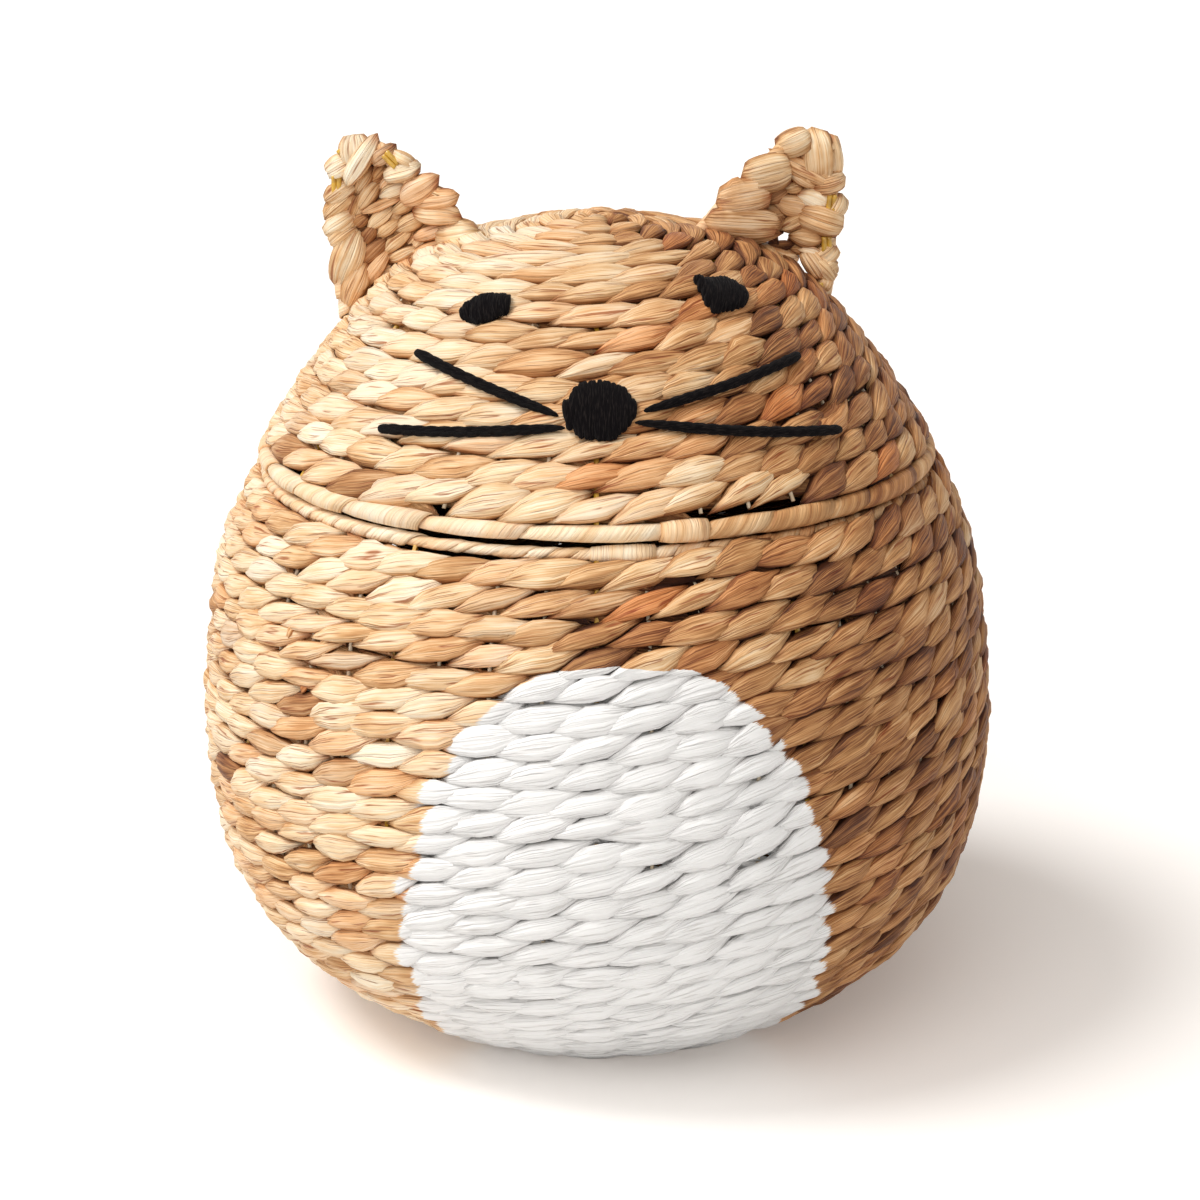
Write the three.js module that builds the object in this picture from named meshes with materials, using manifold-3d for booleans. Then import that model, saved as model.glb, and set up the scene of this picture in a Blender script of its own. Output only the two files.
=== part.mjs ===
// Lidded storage basket in the shape of a cat: twined water hyacinth over a bent wire frame.
// Millimetres, +Z up. The face looks along -Y, and the origin is the middle of the base on the floor.
import * as THREE from 'three';
import { mergeVertices } from 'three/addons/utils/BufferGeometryUtils.js';
import Module from 'manifold-3d';

const wasm = await Module();
wasm.setup();

// Clearances between pieces
const seatGap = 0.3; // where one piece rests on another
const wireGap = 0.35; // round a wire, inside the strands that hold it
const boreGap = 0.9; // round a hoop wire, where the ends of the stakes hook on to it
const channelOverrun = 1.5; // how far a wire's channel runs past the wire's ends

// Woven walls, alike in the body and the lid
const wallThickness = 11; // two strands and the stake between them
const rowGroove = 2.5; // depth of the groove between two rows
const strandDip = 1.5; // depth of the dip where one strand of a row goes under the next
const strandSpacing = 21.2; // least distance from strand to strand along a row
const hoopStraight = 7; // last stretch of a wall before its hoop
const bodyRows = 21;
const lidRows = 13;
const leastStrands = 2; // in a row, from one frame wire to the next

// Wires
const frameWireRadius = 2; // hoops and base ring
const stakeRadius = 1.25; // uprights that the strands are twined round
const crownWireRadius = 1.5;
const earWireRadius = 1.5;
const bodyStakes = 12;
const lidStakes = 6;

// Body
const baseRingRadius = 96; // centre line of the wire round the base
const baseRingHeight = 5.5;
const baseThickness = 10;
const bellyRadius = 196; // widest outer radius
const bellyHeight = 148; // where the body is widest
const rimRadius = 161; // centre line of the rim hoop
const rimHeight = 275;
const rimWrapRadius = 4; // the wrapped rim hoop is 8 mm thick
const rimLean = THREE.MathUtils.degToRad(30); // of the wall where it meets the rim hoop

// Lid, with its heights measured from the centre line of its own hoop
const lidRadius = 161;
const lidWrapRadius = 5; // the wrapped lid hoop is 10 mm thick
const lidLean = THREE.MathUtils.degToRad(32); // of the dome where it meets the lid hoop
const lidHeight = 113; // hoop centre line to the top of the crown
const crownRingRadius = 24;
const crownRise = 3; // of the crown's middle above the last row

// Ears
const earWidth = 62; // foot to foot, on the centre line of the border
const earRise = 78; // outer foot to tip
const earFootDepth = 9; // inner foot, behind the lid's middle
const earYaw = THREE.MathUtils.degToRad(12); // the outer edge is turned back
const earBorderRadius = 6.5;
const earFillThickness = 5;
const earCup = 6; // hollow of the ear's front

// Black yarn of the face
const yarnRadius = 2.4;
const padThickness = 4.2;
const padRoot = 4; // pushed into the dome before it is cut to the dome's surface
const padEdge = 1.4; // rounding of a stitched pad's edge
const eyeTilt = 2; // the left eye sits this much lower, and the right one higher
const eyeWidth = 24;
const eyeLength = 21;
const noseWidth = 34;
const noseLength = 29;

// Facets
const roundSegments = 36;
const cutterSegments = 96; // fine enough to clear every strand of the dome
const ringLead = 0.6; // how many points each ring is joined ahead, which slants the strands
const crownSegments = 18;
const wireSides = 5;
const wrapSides = 8;
const wallInnerSteps = 6;
const bodyStakeSteps = 8;
const lidStakeSteps = 6;
const earSteps = 16;
const cupSteps = 8;
const padPoints = 16;
const padRoundness = 2.8; // exponent of a stitched pad's outline, between an ellipse and a box
const yarnSides = 5;
const yarnSteps = 10;
const outlineSamples = 80;

// Places on the lid, to the side as shares of its radius and upwards as shares of its height
const eyeShares = [0.329, 0.7655];
const noseShares = [0, 0.429];
const upperWhiskerShares = { from: [0.124, 0.425], to: [0.5465, 0.5665] };
const lowerWhiskerShares = { from: [0.112, 0.3805], to: [0.652, 0.283] };
// The inner foot to the side and the outer foot upwards: woven by eye, the two ears differ
const leftEarFootShares = [0.391, 0.587];
const rightEarFootShares = [0.314, 0.609];

// Outline points between two named ones, as shares of the way outwards and upwards
const bellyShares = [[0.3, 0.112], [0.66, 0.3], [0.897, 0.56]];
const neckShares = [[0.195, 0.468], [0.44, 0.754]];
const domeShares = [[0.272, 0.073], [0.5, 0.204], [0.66, 0.396], [0.794, 0.608], [0.91, 0.82]];
const crownShares = [[1, 0], [0.66, 0.6], [0.3, 0.92], [0, 1]];
// Ear border, as shares of its width from the inner foot and of its rise from the outer foot
const earShares = [
  [0, 0.44], [0.16, 0.575], [0.46, 0.79], [0.7, 0.97], [0.92, 0.93], [1.03, 0.66], [1.03, 0.3], [1, -0.08],
];

// Places that follow from the sizes above
const footFace = baseRingRadius + frameWireRadius + seatGap + wireGap;
const crownFace = crownRingRadius + crownWireRadius + seatGap + wireGap;
const crownEdge = lidHeight - crownRise;
const lidBase = rimHeight + rimWrapRadius + seatGap + lidWrapRadius;
const boreRadius = frameWireRadius + boreGap;
const [eyeOffset, eyeHeight] = onLid(eyeShares);
const [noseOffset, noseHeight] = onLid(noseShares);

const finishes = {
  bodyWeave: { color: 0xc39a62, roughness: 0.75, metalness: 0 },
  lidWeave: { color: 0xcaa36c, roughness: 0.75, metalness: 0 },
  wrap: { color: 0xb98c56, roughness: 0.7, metalness: 0 },
  wire: { color: 0xc9a648, roughness: 0.45, metalness: 0.6 },
  yarn: { color: 0x17161a, roughness: 0.95, metalness: 0 },
};

/** Place on the lid, in millimetres to the side and above the hoop's centre line, from its shares. */
function onLid([sideShare, upShare]) {
  return [sideShare * lidRadius, upShare * lidHeight];
}

/** Route of a wire whose steps fall on chosen points, so that a channel round it bends alike. */
class Route extends THREE.Curve {
  constructor(points) {
    super();
    this.points = points;
  }

  getPoint(t, target = new THREE.Vector3()) {
    const place = t * (this.points.length - 1);
    const index = Math.min(Math.floor(place), this.points.length - 2);
    return target.copy(this.points[index]).lerp(this.points[index + 1], place - index);
  }

  getUtoTmapping(u) {
    return u;
  }

  /** The same route, run straight on past both ends. */
  extended(distance) {
    const [first, second] = this.points;
    const [nextToLast, last] = this.points.slice(-2);
    const start = first.clone().sub(second).setLength(distance).add(first);
    const end = last.clone().sub(nextToLast).setLength(distance).add(last);
    return new Route([start, ...this.points, end]);
  }
}

/** Regular polygon as a section for sweeping. */
function roundSection(radius, sides) {
  const points = [];
  for (let i = 0; i < sides; i += 1) {
    const angle = (2 * Math.PI * i) / sides;
    points.push(new THREE.Vector2(radius * Math.cos(angle), radius * Math.sin(angle)));
  }
  return new THREE.Shape(points);
}

/** Closed tube along a route. */
function tube(route, radius, sides) {
  return new THREE.ExtrudeGeometry(roundSection(radius, sides), {
    steps: route.points.length - 1,
    extrudePath: route,
  });
}

/** Channel for a wire, open past both of its ends. */
function channel(route, wireRadius) {
  return tube(route.extended(channelOverrun), wireRadius + wireGap, wireSides);
}

/** Body of revolution about Z from points given as radius and height. */
function turned(profile, segments = roundSegments) {
  return new THREE.LatheGeometry(profile, segments).rotateX(Math.PI / 2);
}

/** Ring of round section about Z. */
function ring(radius, height, sectionRadius, sides, segments = roundSegments) {
  return new THREE.TorusGeometry(radius, sectionRadius, sides, segments).translate(0, 0, height);
}

/** Volume that a triangle mesh encloses, negative when its faces point inwards. */
function signedVolume(position, triangles) {
  const [a, b, c] = [new THREE.Vector3(), new THREE.Vector3(), new THREE.Vector3()];
  let sum = 0;
  for (let i = 0; i < triangles.length; i += 3) {
    a.fromBufferAttribute(position, triangles[i]);
    b.fromBufferAttribute(position, triangles[i + 1]);
    c.fromBufferAttribute(position, triangles[i + 2]);
    sum += a.dot(b.cross(c));
  }
  return sum / 6;
}

/** Solid from a closed geometry, with its faces turned outwards. */
function toSolid(geometry) {
  const bare = geometry.clone();
  bare.deleteAttribute('normal');
  bare.deleteAttribute('uv');
  const merged = mergeVertices(bare);
  const index = merged.index.array;
  const triangles = [];
  for (let i = 0; i < index.length; i += 3) {
    const [a, b, c] = index.slice(i, i + 3);
    if (a !== b && b !== c && c !== a) triangles.push(a, b, c);
  }
  if (signedVolume(merged.attributes.position, triangles) < 0) triangles.reverse();
  const vertProperties = new Float32Array(merged.attributes.position.array);
  const triVerts = new Uint32Array(triangles);
  return new wasm.Manifold(new wasm.Mesh({ numProp: 3, vertProperties, triVerts }));
}

/** Geometry of a solid. */
function toGeometry(solid) {
  const mesh = solid.getMesh();
  const geometry = new THREE.BufferGeometry();
  geometry.setAttribute('position', new THREE.BufferAttribute(mesh.vertProperties, 3));
  geometry.setIndex(new THREE.BufferAttribute(mesh.triVerts, 1));
  geometry.computeVertexNormals();
  return geometry;
}

/** Solid of a geometry less each of the others. */
function cut(geometry, others) {
  let solid = toSolid(geometry);
  for (const other of others) solid = solid.subtract(toSolid(other));
  return solid;
}

/** Copies of a geometry at even angles about Z. */
function copiesAround(geometry, count) {
  const copies = [];
  for (let i = 0; i < count; i += 1) {
    copies.push(geometry.clone().rotateZ((2 * Math.PI * i) / count));
  }
  return copies;
}

/** Adds a named mesh with a material of its own to a group. */
function addPiece(group, name, solid, finish) {
  const mesh = new THREE.Mesh(toGeometry(solid), new THREE.MeshStandardMaterial(finish));
  mesh.name = name;
  group.add(mesh);
}

/** Adds the stakes at even angles, numbered from the front. */
function addStakes(group, prefix, route, count) {
  copiesAround(tube(route, stakeRadius, wireSides), count).forEach((geometry, index) => {
    const number = String(index + 1).padStart(2, '0');
    addPiece(group, `${prefix}_${number}`, toSolid(geometry), finishes.wire);
  });
}

/** Direction, in radius and height, in which the stakes run into a hoop. */
function intoHoop(hoop) {
  return new THREE.Vector2(-Math.sin(hoop.lean), Math.cos(hoop.lean)).multiplyScalar(hoop.side);
}

/** Place on the stakes' line at a distance short of a hoop's centre line. */
function shortOfHoop(hoop, distance) {
  return new THREE.Vector2(hoop.radius, hoop.height).addScaledVector(intoHoop(hoop), -distance);
}

/** Last two points of a wall's outline, where its edge rests against the wrap of its hoop. */
function edgeAt(hoop) {
  const outwards = new THREE.Vector2(Math.cos(hoop.lean), Math.sin(hoop.lean));
  const edge = shortOfHoop(hoop, hoop.wrapRadius + seatGap).addScaledVector(outwards, wallThickness / 2);
  const bend = edge.clone().addScaledVector(intoHoop(hoop), -hoopStraight);
  return [bend, edge];
}

/** Points at shares of the way outwards and upwards from one corner to another. */
function between(start, end, shares) {
  return shares.map(([outwards, upwards]) => new THREE.Vector2(
    THREE.MathUtils.lerp(start.x, end.x, outwards),
    THREE.MathUtils.lerp(start.y, end.y, upwards),
  ));
}

/** Smooth curve through points given as radius and height. */
function smoothOutline(points) {
  const lifted = points.map((point) => new THREE.Vector3(point.x, point.y, 0));
  return new THREE.CatmullRomCurve3(lifted, false, 'centripetal');
}

/** Point of an outline moved square to it into the wall. Side is 1 in the body and -1 in the lid. */
function inset(outline, share, distance, side) {
  const point = outline.getPointAt(share);
  const along = outline.getTangentAt(share);
  return new THREE.Vector2(point.x - side * along.y * distance, point.y + side * along.x * distance);
}

/** Points at even angles about Z, from the front round, at places given as radius and height. */
function pointsRound(count, placeAt) {
  const points = [];
  for (let i = 0; i < count; i += 1) {
    const angle = (2 * Math.PI * i) / count;
    const place = placeAt(i);
    points.push(new THREE.Vector3(place.x * Math.sin(angle), -place.x * Math.cos(angle), place.y));
  }
  return points;
}

/** Triangles from one ring of points to the next, each starting at a place in the skin's list. */
function ringsJoined(ring, next, start, nextStart) {
  const triangles = [];
  let [i, j] = [0, 0];
  while (i < ring.length || j < next.length) {
    const corner = start + (i % ring.length);
    const nextCorner = nextStart + (j % next.length);
    const nextIsDue = (j + 1 - ringLead) / next.length <= (i + 1) / ring.length;
    if (j < next.length && (nextIsDue || i === ring.length)) {
      j += 1;
      triangles.push(corner, nextStart + (j % next.length), nextCorner);
    } else {
      i += 1;
      triangles.push(corner, start + (i % ring.length), nextCorner);
    }
  }
  return triangles;
}

/** Closed skin over rings of points, each joined to the next and the last to the first. */
function skin(rings) {
  const points = rings.flat();
  const starts = [0];
  for (const ring of rings) starts.push(starts.at(-1) + ring.length);
  const triangles = rings.flatMap((ring, index) => {
    const nextIndex = (index + 1) % rings.length;
    return ringsJoined(ring, rings[nextIndex], starts[index], starts[nextIndex]);
  });
  return new THREE.BufferGeometry().setFromPoints(points).setIndex(triangles);
}

/** Number of strands round a row of some radius, alike between all the frame wires. */
function strandsRound(radius, stakes) {
  const fitting = Math.floor((2 * Math.PI * radius) / (stakes * strandSpacing));
  return stakes * Math.max(fitting, leastStrands);
}

/** Woven wall: rows of strands outside, plain inside, with an upright face at its ring. */
function wovenWall(outline, rows, side, stakes) {
  const foot = outline.getPointAt(0);
  const rings = [];
  const addPlain = (place) => rings.push(pointsRound(roundSegments, () => place));
  addPlain(new THREE.Vector2(foot.x, foot.y + side * rowGroove));
  for (let row = 1; row <= rows; row += 1) {
    const middle = (row - 0.5) / rows;
    const count = strandsRound(inset(outline, middle, wallThickness / 2, side).x, stakes);
    const crest = inset(outline, middle, 0, side);
    const dip = inset(outline, middle, strandDip, side);
    rings.push(pointsRound(2 * count, (index) => (index % 2 === 0 ? crest : dip)));
    const groove = inset(outline, row / rows, rowGroove, side);
    if (row < rows) rings.push(pointsRound(count, () => groove));
    else addPlain(groove);
  }
  for (let i = wallInnerSteps; i > 0; i -= 1) {
    addPlain(inset(outline, i / wallInnerSteps, wallThickness, side));
  }
  addPlain(new THREE.Vector2(foot.x, foot.y + side * wallThickness));
  return skin(rings);
}

/** Stake up the middle of a woven wall, from its ring wire to the wire of its hoop. */
function stakeRoute(outline, ringEdge, ringHeight, hoop, steps) {
  const points = [new THREE.Vector2(ringEdge + 2 * seatGap, ringHeight)];
  for (let i = 1; i < steps; i += 1) {
    points.push(inset(outline, i / steps, wallThickness / 2, hoop.side));
  }
  points.push(shortOfHoop(hoop, hoop.wrapRadius + seatGap));
  points.push(shortOfHoop(hoop, frameWireRadius + seatGap));
  return new Route(points.map((point) => new THREE.Vector3(0, -point.x, point.y)));
}

/** Adds a hoop: its wire, and the strands wound round it, with a hole for the end of each stake. */
function addHoop(group, prefix, hoop, stakeChannels) {
  const wrap = ring(hoop.radius, hoop.height, hoop.wrapRadius, wrapSides);
  const bore = ring(hoop.radius, hoop.height, boreRadius, wireSides);
  const wire = ring(hoop.radius, hoop.height, frameWireRadius, wireSides);
  addPiece(group, `${prefix}_hoop_wire`, toSolid(wire), finishes.wire);
  addPiece(group, `${prefix}_hoop_wrap`, cut(wrap, [bore, ...stakeChannels]), finishes.wrap);
}

/** Flat woven base inside the base ring. */
function basePad() {
  const radius = baseRingRadius - frameWireRadius - seatGap;
  const corners = [[0, 0], [radius, 0], [radius, baseThickness], [0, baseThickness]];
  return turned(corners.map(([x, y]) => new THREE.Vector2(x, y)));
}

/** Body: base, pear-shaped wall, stakes and rim hoop. */
function makeBody() {
  const group = new THREE.Group();
  const hoop = {
    side: 1, radius: rimRadius, height: rimHeight, lean: rimLean, wrapRadius: rimWrapRadius,
  };
  const foot = new THREE.Vector2(footFace, 0);
  const belly = new THREE.Vector2(bellyRadius, bellyHeight);
  const [bend, edge] = edgeAt(hoop);
  const lower = [foot, ...between(foot, belly, bellyShares), belly];
  const outline = smoothOutline([...lower, ...between(belly, bend, neckShares), bend, edge]);
  const ringEdge = baseRingRadius + frameWireRadius;
  const route = stakeRoute(outline, ringEdge, baseRingHeight, hoop, bodyStakeSteps);
  const channels = copiesAround(channel(route, stakeRadius), bodyStakes);
  const wall = wovenWall(outline, bodyRows, hoop.side, bodyStakes);
  const baseRing = ring(baseRingRadius, baseRingHeight, frameWireRadius, wireSides);
  addPiece(group, 'body_weave', cut(wall, channels), finishes.bodyWeave);
  addPiece(group, 'base_weave', toSolid(basePad()), finishes.bodyWeave);
  addPiece(group, 'base_ring_wire', toSolid(baseRing), finishes.wire);
  addStakes(group, 'body_stake', route, bodyStakes);
  addHoop(group, 'rim', hoop, channels);
  return group;
}

/** Button of strands that closes the crown inside its ring. */
function crownButton() {
  const radius = crownRingRadius - crownWireRadius - seatGap;
  const underside = crownEdge - wallThickness;
  const profile = [new THREE.Vector2(0, underside), new THREE.Vector2(radius, underside)];
  for (const [outwards, upwards] of crownShares) {
    profile.push(new THREE.Vector2(radius * outwards, crownEdge + crownRise * upwards));
  }
  return turned(profile, crownSegments);
}

/** Solid just clear of the dome's outside, which cuts whatever rests on the lid. */
function domeCutter(outline, hoop) {
  const profile = [new THREE.Vector2(0, crownEdge + seatGap)];
  for (let i = 0; i <= 2 * lidRows; i += 1) {
    profile.push(inset(outline, i / (2 * lidRows), -seatGap, hoop.side));
  }
  const below = -lidHeight;
  profile.push(new THREE.Vector2(hoop.radius, below), new THREE.Vector2(0, below));
  return turned(profile, cutterSegments);
}

/** Turns an ear's own sizes (along its width, up, and back) into places on the lid. */
function earPlace(mirror, footOffset) {
  const along = new THREE.Vector3(mirror * Math.cos(earYaw), Math.sin(earYaw), 0);
  const up = new THREE.Vector3(0, 0, 1);
  const back = new THREE.Vector3(-mirror * Math.sin(earYaw), Math.cos(earYaw), 0);
  const place = new THREE.Matrix4().makeBasis(along, up, back);
  return place.setPosition(mirror * footOffset, earFootDepth, 0);
}

/** Centre line of an ear's border, from the inner foot over the tip to the outer foot. */
function earCentreLine(footHeight) {
  const points = earShares.map(([alongShare, upShare]) => new THREE.Vector3(
    alongShare * earWidth,
    footHeight + upShare * earRise,
    0,
  ));
  return new THREE.CatmullRomCurve3(points, false, 'centripetal').getSpacedPoints(earSteps);
}

/** Upright block with the outline inside an ear's border, long enough to cut through its infill. */
function earPrism(centreLine) {
  const route = new Route(centreLine);
  const inside = centreLine.map((point, index) => {
    const along = route.getTangent(index / (centreLine.length - 1));
    const reach = earBorderRadius + seatGap;
    return new THREE.Vector2(point.x + along.y * reach, point.y - along.x * reach);
  });
  const block = new THREE.ExtrudeGeometry(new THREE.Shape(inside), { depth: earWidth, bevelEnabled: false });
  return block.translate(0, 0, -earWidth / 2);
}

/** Sheet of even thickness, hollow towards the front, as wide as an ear and taller. */
function earSheet(footHeight) {
  const cupRadius = ((earWidth / 2) ** 2 + earCup ** 2) / (2 * earCup);
  const spread = Math.asin(earWidth / 2 / cupRadius);
  const arc = (radius) => {
    const points = [];
    for (let i = 0; i <= cupSteps; i += 1) {
      const angle = spread * ((2 * i) / cupSteps - 1);
      const back = earCup - earFillThickness / 2 - cupRadius + radius * Math.cos(angle);
      points.push(new THREE.Vector2(earWidth / 2 + radius * Math.sin(angle), -back));
    }
    return points;
  };
  const section = new THREE.Shape([...arc(cupRadius), ...arc(cupRadius + earFillThickness).reverse()]);
  const sheet = new THREE.ExtrudeGeometry(section, { depth: footHeight + earRise, bevelEnabled: false });
  return sheet.rotateX(-Math.PI / 2);
}

/** Adds one ear, and returns the channels that its wire needs in the dome. */
function addEar(group, side, mirror, [footOffset, footHeight], cutter) {
  const place = earPlace(mirror, footOffset);
  const centreLine = earCentreLine(footHeight);
  const route = new Route(centreLine.map((point) => point.clone().applyMatrix4(place)));
  const bore = channel(route, earWireRadius);
  const border = cut(tube(route, earBorderRadius, wrapSides), [bore, cutter]);
  const prism = toSolid(earPrism(centreLine).applyMatrix4(place));
  const sheet = toSolid(earSheet(footHeight).applyMatrix4(place));
  const infill = prism.intersect(sheet).subtract(toSolid(cutter));
  addPiece(group, `${side}_ear_wire`, toSolid(tube(route, earWireRadius, wireSides)), finishes.wire);
  addPiece(group, `${side}_ear_border`, border, finishes.lidWeave);
  addPiece(group, `${side}_ear_weave`, infill, finishes.lidWeave);
  return bore;
}

/** Front of the dome: finds the outer radius, the place and the facing at a point seen from the front. */
class DomeFront {
  constructor(outline) {
    this.samples = outline.getSpacedPoints(outlineSamples);
  }

  /** Outer radius of the dome at a height, with its change per millimetre of height. */
  radiusAt(height) {
    const index = this.samples.findIndex((sample) => sample.y <= height);
    const [upper, lower] = this.samples.slice(index - 1, index + 1);
    const slope = (lower.x - upper.x) / (lower.y - upper.y);
    return { radius: upper.x + slope * (height - upper.y), slope };
  }

  /** Frame on the dome, level along its first axis and square to the dome along its third. */
  frameAt(offset, height) {
    const { radius, slope } = this.radiusAt(height);
    const point = new THREE.Vector3(offset, -Math.sqrt(radius ** 2 - offset ** 2), height);
    const facing = new THREE.Vector3(point.x / radius, point.y / radius, -slope).normalize();
    const level = new THREE.Vector3(-point.y, point.x, 0).normalize();
    const uphill = facing.clone().cross(level);
    return { point, level, uphill, facing };
  }
}

/** Stitched pad of yarn, cut to the dome that it lies on. */
function stitchedPad(front, offset, height, width, length, cutter) {
  const outline = [];
  for (let i = 0; i < padPoints; i += 1) {
    const angle = (2 * Math.PI * (i + 0.5)) / padPoints;
    const [x, y] = [Math.cos(angle), Math.sin(angle)];
    outline.push(new THREE.Vector2(
      (width / 2) * Math.sign(x) * Math.abs(x) ** (2 / padRoundness),
      (length / 2) * Math.sign(y) * Math.abs(y) ** (2 / padRoundness),
    ));
  }
  const pad = new THREE.ExtrudeGeometry(new THREE.Shape(outline), {
    depth: padRoot + padThickness - 2 * padEdge,
    bevelThickness: padEdge,
    bevelSize: padEdge,
    bevelOffset: -padEdge,
    bevelSegments: 1,
  });
  pad.translate(0, 0, padEdge - padRoot);
  const frame = front.frameAt(offset, height);
  const place = new THREE.Matrix4().makeBasis(frame.level, frame.uphill, frame.facing);
  return cut(pad.applyMatrix4(place.setPosition(frame.point)), [cutter]);
}

/** Whisker: a strand of yarn laid along the dome, with tapered ends. */
function whisker(front, mirror, shares) {
  const from = onLid(shares.from);
  const to = onLid(shares.to);
  const strand = new THREE.SphereGeometry(1, yarnSides, yarnSteps);
  const position = strand.attributes.position;
  for (let i = 0; i < position.count; i += 1) {
    const share = (position.getY(i) + 1) / 2;
    const offset = mirror * THREE.MathUtils.lerp(from[0], to[0], share);
    const height = THREE.MathUtils.lerp(from[1], to[1], share);
    const { point, facing } = front.frameAt(offset, height);
    const run = new THREE.Vector3(mirror * (to[0] - from[0]), 0, to[1] - from[1]);
    const across = facing.clone().cross(run).normalize();
    const reach = Math.hypot(position.getX(i), position.getZ(i));
    const taper = reach > 0 ? (yarnRadius * Math.sqrt(1 - (2 * share - 1) ** 4)) / reach : 0;
    point.addScaledVector(across, position.getX(i) * taper);
    point.addScaledVector(facing, yarnRadius + seatGap + position.getZ(i) * taper);
    position.setXYZ(i, point.x, point.y, point.z);
  }
  return toSolid(strand);
}

/** Lid: domed wall, stakes, hoop, crown, ears and the face in black yarn. */
function makeLid() {
  const group = new THREE.Group();
  const hoop = { side: -1, radius: lidRadius, height: 0, lean: lidLean, wrapRadius: lidWrapRadius };
  const crown = new THREE.Vector2(crownFace, crownEdge);
  const crownRingHeight = crownEdge - wallThickness / 2;
  const [bend, edge] = edgeAt(hoop);
  const outline = smoothOutline([crown, ...between(crown, bend, domeShares), bend, edge]);
  const ringEdge = crownRingRadius + crownWireRadius;
  const route = stakeRoute(outline, ringEdge, crownRingHeight, hoop, lidStakeSteps);
  const channels = copiesAround(channel(route, stakeRadius), lidStakes);
  const cutter = domeCutter(outline, hoop);
  const crownRing = ring(crownRingRadius, crownRingHeight, crownWireRadius, wireSides, crownSegments);
  const dome = wovenWall(outline, lidRows, hoop.side, lidStakes);
  const earChannels = [
    addEar(group, 'left', -1, onLid(leftEarFootShares), cutter),
    addEar(group, 'right', 1, onLid(rightEarFootShares), cutter),
  ];
  addPiece(group, 'lid_weave', cut(dome, [...channels, ...earChannels]), finishes.lidWeave);
  addPiece(group, 'crown_weave', toSolid(crownButton()), finishes.lidWeave);
  addPiece(group, 'crown_ring_wire', toSolid(crownRing), finishes.wire);
  addStakes(group, 'lid_stake', route, lidStakes);
  addHoop(group, 'lid', hoop, channels);

  const front = new DomeFront(outline);
  for (const [side, mirror] of [['left', -1], ['right', 1]]) {
    const height = eyeHeight + mirror * eyeTilt;
    const eye = stitchedPad(front, mirror * eyeOffset, height, eyeWidth, eyeLength, cutter);
    addPiece(group, `${side}_eye`, eye, finishes.yarn);
    addPiece(group, `${side}_upper_whisker`, whisker(front, mirror, upperWhiskerShares), finishes.yarn);
    addPiece(group, `${side}_lower_whisker`, whisker(front, mirror, lowerWhiskerShares), finishes.yarn);
  }
  const nose = stitchedPad(front, noseOffset, noseHeight, noseWidth, noseLength, cutter);
  addPiece(group, 'nose', nose, finishes.yarn);
  return group;
}

const basket = new THREE.Group();
const lid = makeLid();
lid.position.z = lidBase;
basket.add(makeBody(), lid);

export default basket;
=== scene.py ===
"""Lidded basket of twined water hyacinth in the shape of a sitting cat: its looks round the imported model.

Sizes are in millimetres here and become metres where a mesh is written. The face looks along -Y.
"""

import logging
import math
from abc import ABC, abstractmethod
from collections.abc import Callable
from dataclasses import dataclass, fields
from enum import Enum
from functools import partial

import bmesh
import bpy
import numpy as np
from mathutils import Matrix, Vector


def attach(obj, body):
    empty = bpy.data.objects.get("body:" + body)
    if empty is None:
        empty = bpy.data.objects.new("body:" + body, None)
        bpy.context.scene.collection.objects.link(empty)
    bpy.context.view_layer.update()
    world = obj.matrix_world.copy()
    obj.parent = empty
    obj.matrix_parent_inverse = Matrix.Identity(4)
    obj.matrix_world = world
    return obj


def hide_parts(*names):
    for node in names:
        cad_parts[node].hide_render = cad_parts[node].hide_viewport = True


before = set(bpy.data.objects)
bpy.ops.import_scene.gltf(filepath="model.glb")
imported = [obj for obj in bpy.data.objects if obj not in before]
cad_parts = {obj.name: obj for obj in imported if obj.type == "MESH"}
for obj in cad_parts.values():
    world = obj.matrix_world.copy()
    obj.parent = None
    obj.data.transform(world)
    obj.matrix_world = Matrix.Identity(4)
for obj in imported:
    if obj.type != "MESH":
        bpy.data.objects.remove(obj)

Array = np.ndarray
Generator = np.random.Generator
Material = bpy.types.Material
Mesh = bpy.types.Mesh
Piece = bpy.types.Object
Socket = bpy.types.NodeSocket
Adder = Callable[..., Socket]
Point = tuple[float, float]
Triple = tuple[float, float, float]
Quad = tuple[float, float, float, float]
MM = 0.001
FLOOR_GAP = 0.2  # least height of a strand over the floor, in millimetres
FULL_TURN = 2 * math.pi
UP = np.array([0.0, 0.0, 1.0])
LATE = 2.3  # power at which both ends of a lobe go in alike
DARKEST = 0.88  # tone of the darkest strand
UNPAINTED = -50.0  # reach of what the paint never gets to
MAP_SPREAD = 900.0  # strands start at chance places of a strand map this wide, in millimetres
log = logging.getLogger("cat_basket")


class Body(Enum):
    """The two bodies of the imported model."""

    BASKET = "basket"
    LID = "lid"


class Side(Enum):
    """Side of a woven sheet, with the way that its strands stand off the middle."""

    OUTER = 1
    INNER = -1


class Slot(Enum):
    """The record's material slots."""

    BODY_STRANDS = "body_strands"
    LID_STRANDS = "lid_strands"
    HOOP_WRAP = "hoop_wrap"
    FRAME_WIRE = "frame_wire"
    BLACK_YARN = "black_yarn"


# ---- Materials ----


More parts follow.
